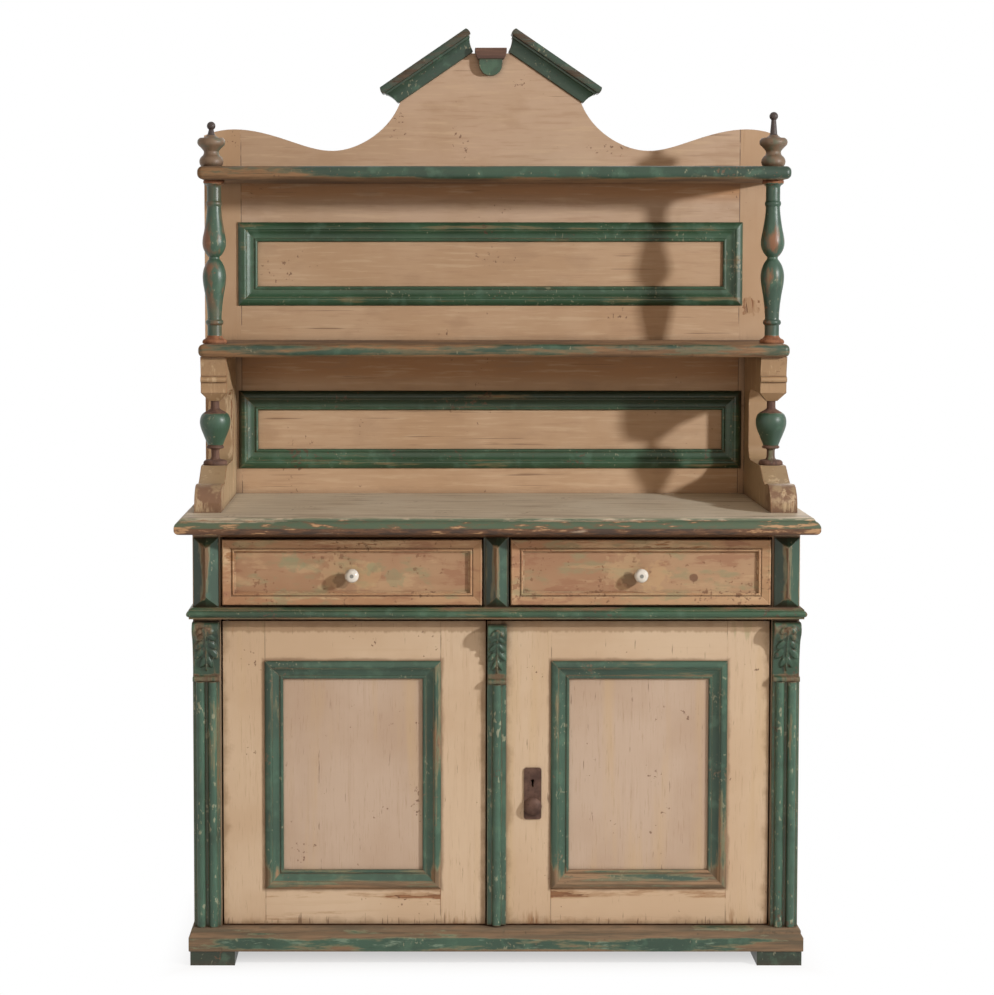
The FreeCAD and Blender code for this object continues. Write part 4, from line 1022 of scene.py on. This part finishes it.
rusted_iron = rusted("rusted_iron", srgb(70, 48, 40), srgb(100, 74, 62))
pin_steel = rusted("pin_steel", srgb(96, 92, 88), srgb(130, 126, 120))
finish_with(rusted_iron, "lock_plate", "lock_case", "lock_bolt", "turn_knob")
finish_with(pin_steel, "door_left_pins", "door_right_pins")
finish_with(glazed("porcelain"), "drawer_left_knob", "drawer_right_knob")

# %% [markdown]
# ## Floor
# The floor fades to white away from the feet. Where it is looked at it glows white, and for the light that
# falls on the hutch it is a matt pale board.

# %% Floor
FLOOR_SIDE = 60
UNDER_PART, PAST_PART = -0.14, 0.05
bpy.ops.object.select_all(action="DESELECT")
bpy.ops.mesh.primitive_plane_add(size=FLOOR_SIDE, location=(0, 0, 0))
floor = bpy.context.object
floor.name = "floor"


def looked_at(wire):
    """1 for what the eye sees, straight or in a mirror or glass; 0 for light between surfaces."""
    rays = [wire.node("LightPath", {}, {}, name)
            for name in ("Is Camera Ray", "Is Glossy Ray", "Is Transmission Ray")]
    return most(most(rays[0], rays[1]), rays[2])


floor_material, floor_place = new_material("pale_floor")
floor_x, floor_y, floor_z = split(floor_place)
outside = most(abs(floor_x) - cad_high.x, abs(floor_y) - cad_high.y)
glowing = looked_at(floor_place) * (0.55 + 0.45 * ramp(outside, UNDER_PART, PAST_PART))
matt = floor_place.node("BsdfDiffuse", {}, {"Color": (0.9, 0.9, 0.9, 1)})
white = floor_place.node("Emission", {}, {"Color": (1, 1, 1, 1), "Strength": 1.0})
shown = floor_place.node("MixShader", {}, {0: glowing, 1: matt, 2: white})
floor_place.node("OutputMaterial", {}, {"Surface": shown})
floor.data.materials.append(floor_material)
print("floor", FLOOR_SIDE, "m wide")

# %% [markdown]
# ## Light
# A key lamp stands to the right of the hutch, a little above eye height, and throws the posts' shadows to
# the left across the back. Wide soft lamps in front, above and behind, and a warm surrounding that looks
# white to the eye, fill the shadows.

# %% Light
def lamp(name, place, target, size, strength, colour):
    """A square lamp whose light doesn't fade with distance, as from a far studio head."""
    data = bpy.data.lights.new(name, "AREA")
    data.size = size
    data.color = colour
    data.energy = 1.0
    data.use_nodes = True
    wire = Wire(data.node_tree)
    even = wire.node("LightFalloff", {}, {"Strength": strength}, "Constant")
    glow = next(n for n in data.node_tree.nodes if n.type == "EMISSION")
    data.node_tree.links.new(even.socket, glow.inputs["Strength"])
    made = bpy.data.objects.new(name, data)
    made.location = place
    made.rotation_euler = (Vector(target) - Vector(place)).to_track_quat("-Z", "Y").to_euler()
    scene.collection.objects.link(made)
    print(name, "at", place)


lamp("key_lamp", (2.45, -1.75, 1.95), (0, 0, 1.1), size=0.16, strength=8.6, colour=(1.0, 1.0, 1.0))
lamp("front_fill", (-1.2, -5.0, 2.2), (0, 0, 1.0), size=3.0, strength=0.9, colour=(1.0, 0.74, 0.5))
lamp("top_fill", (0.3, -1.6, 3.6), (0, 0, 0.9), size=2.4, strength=0.9, colour=(1.0, 0.88, 0.74))
lamp("back_fill", (1.2, 4.6, 2.3), (0, 0.3, 1.0), size=2.6, strength=2.2, colour=(1.0, 0.95, 0.9))
world = bpy.data.worlds.new("studio")
scene.world = world
world.use_nodes = True
world.node_tree.nodes.clear()
sky = Wire(world.node_tree)
plain = looked_at(sky)
warmth = over((1, 0.72, 0.48, 1), plain, (1, 1, 1, 1))
glow = sky.node("Background", {}, {"Color": warmth, "Strength": 0.22 + plain * 0.78})
sky.node("OutputWorld", {}, {"Surface": glow})
scene.view_settings.view_transform = "Standard"
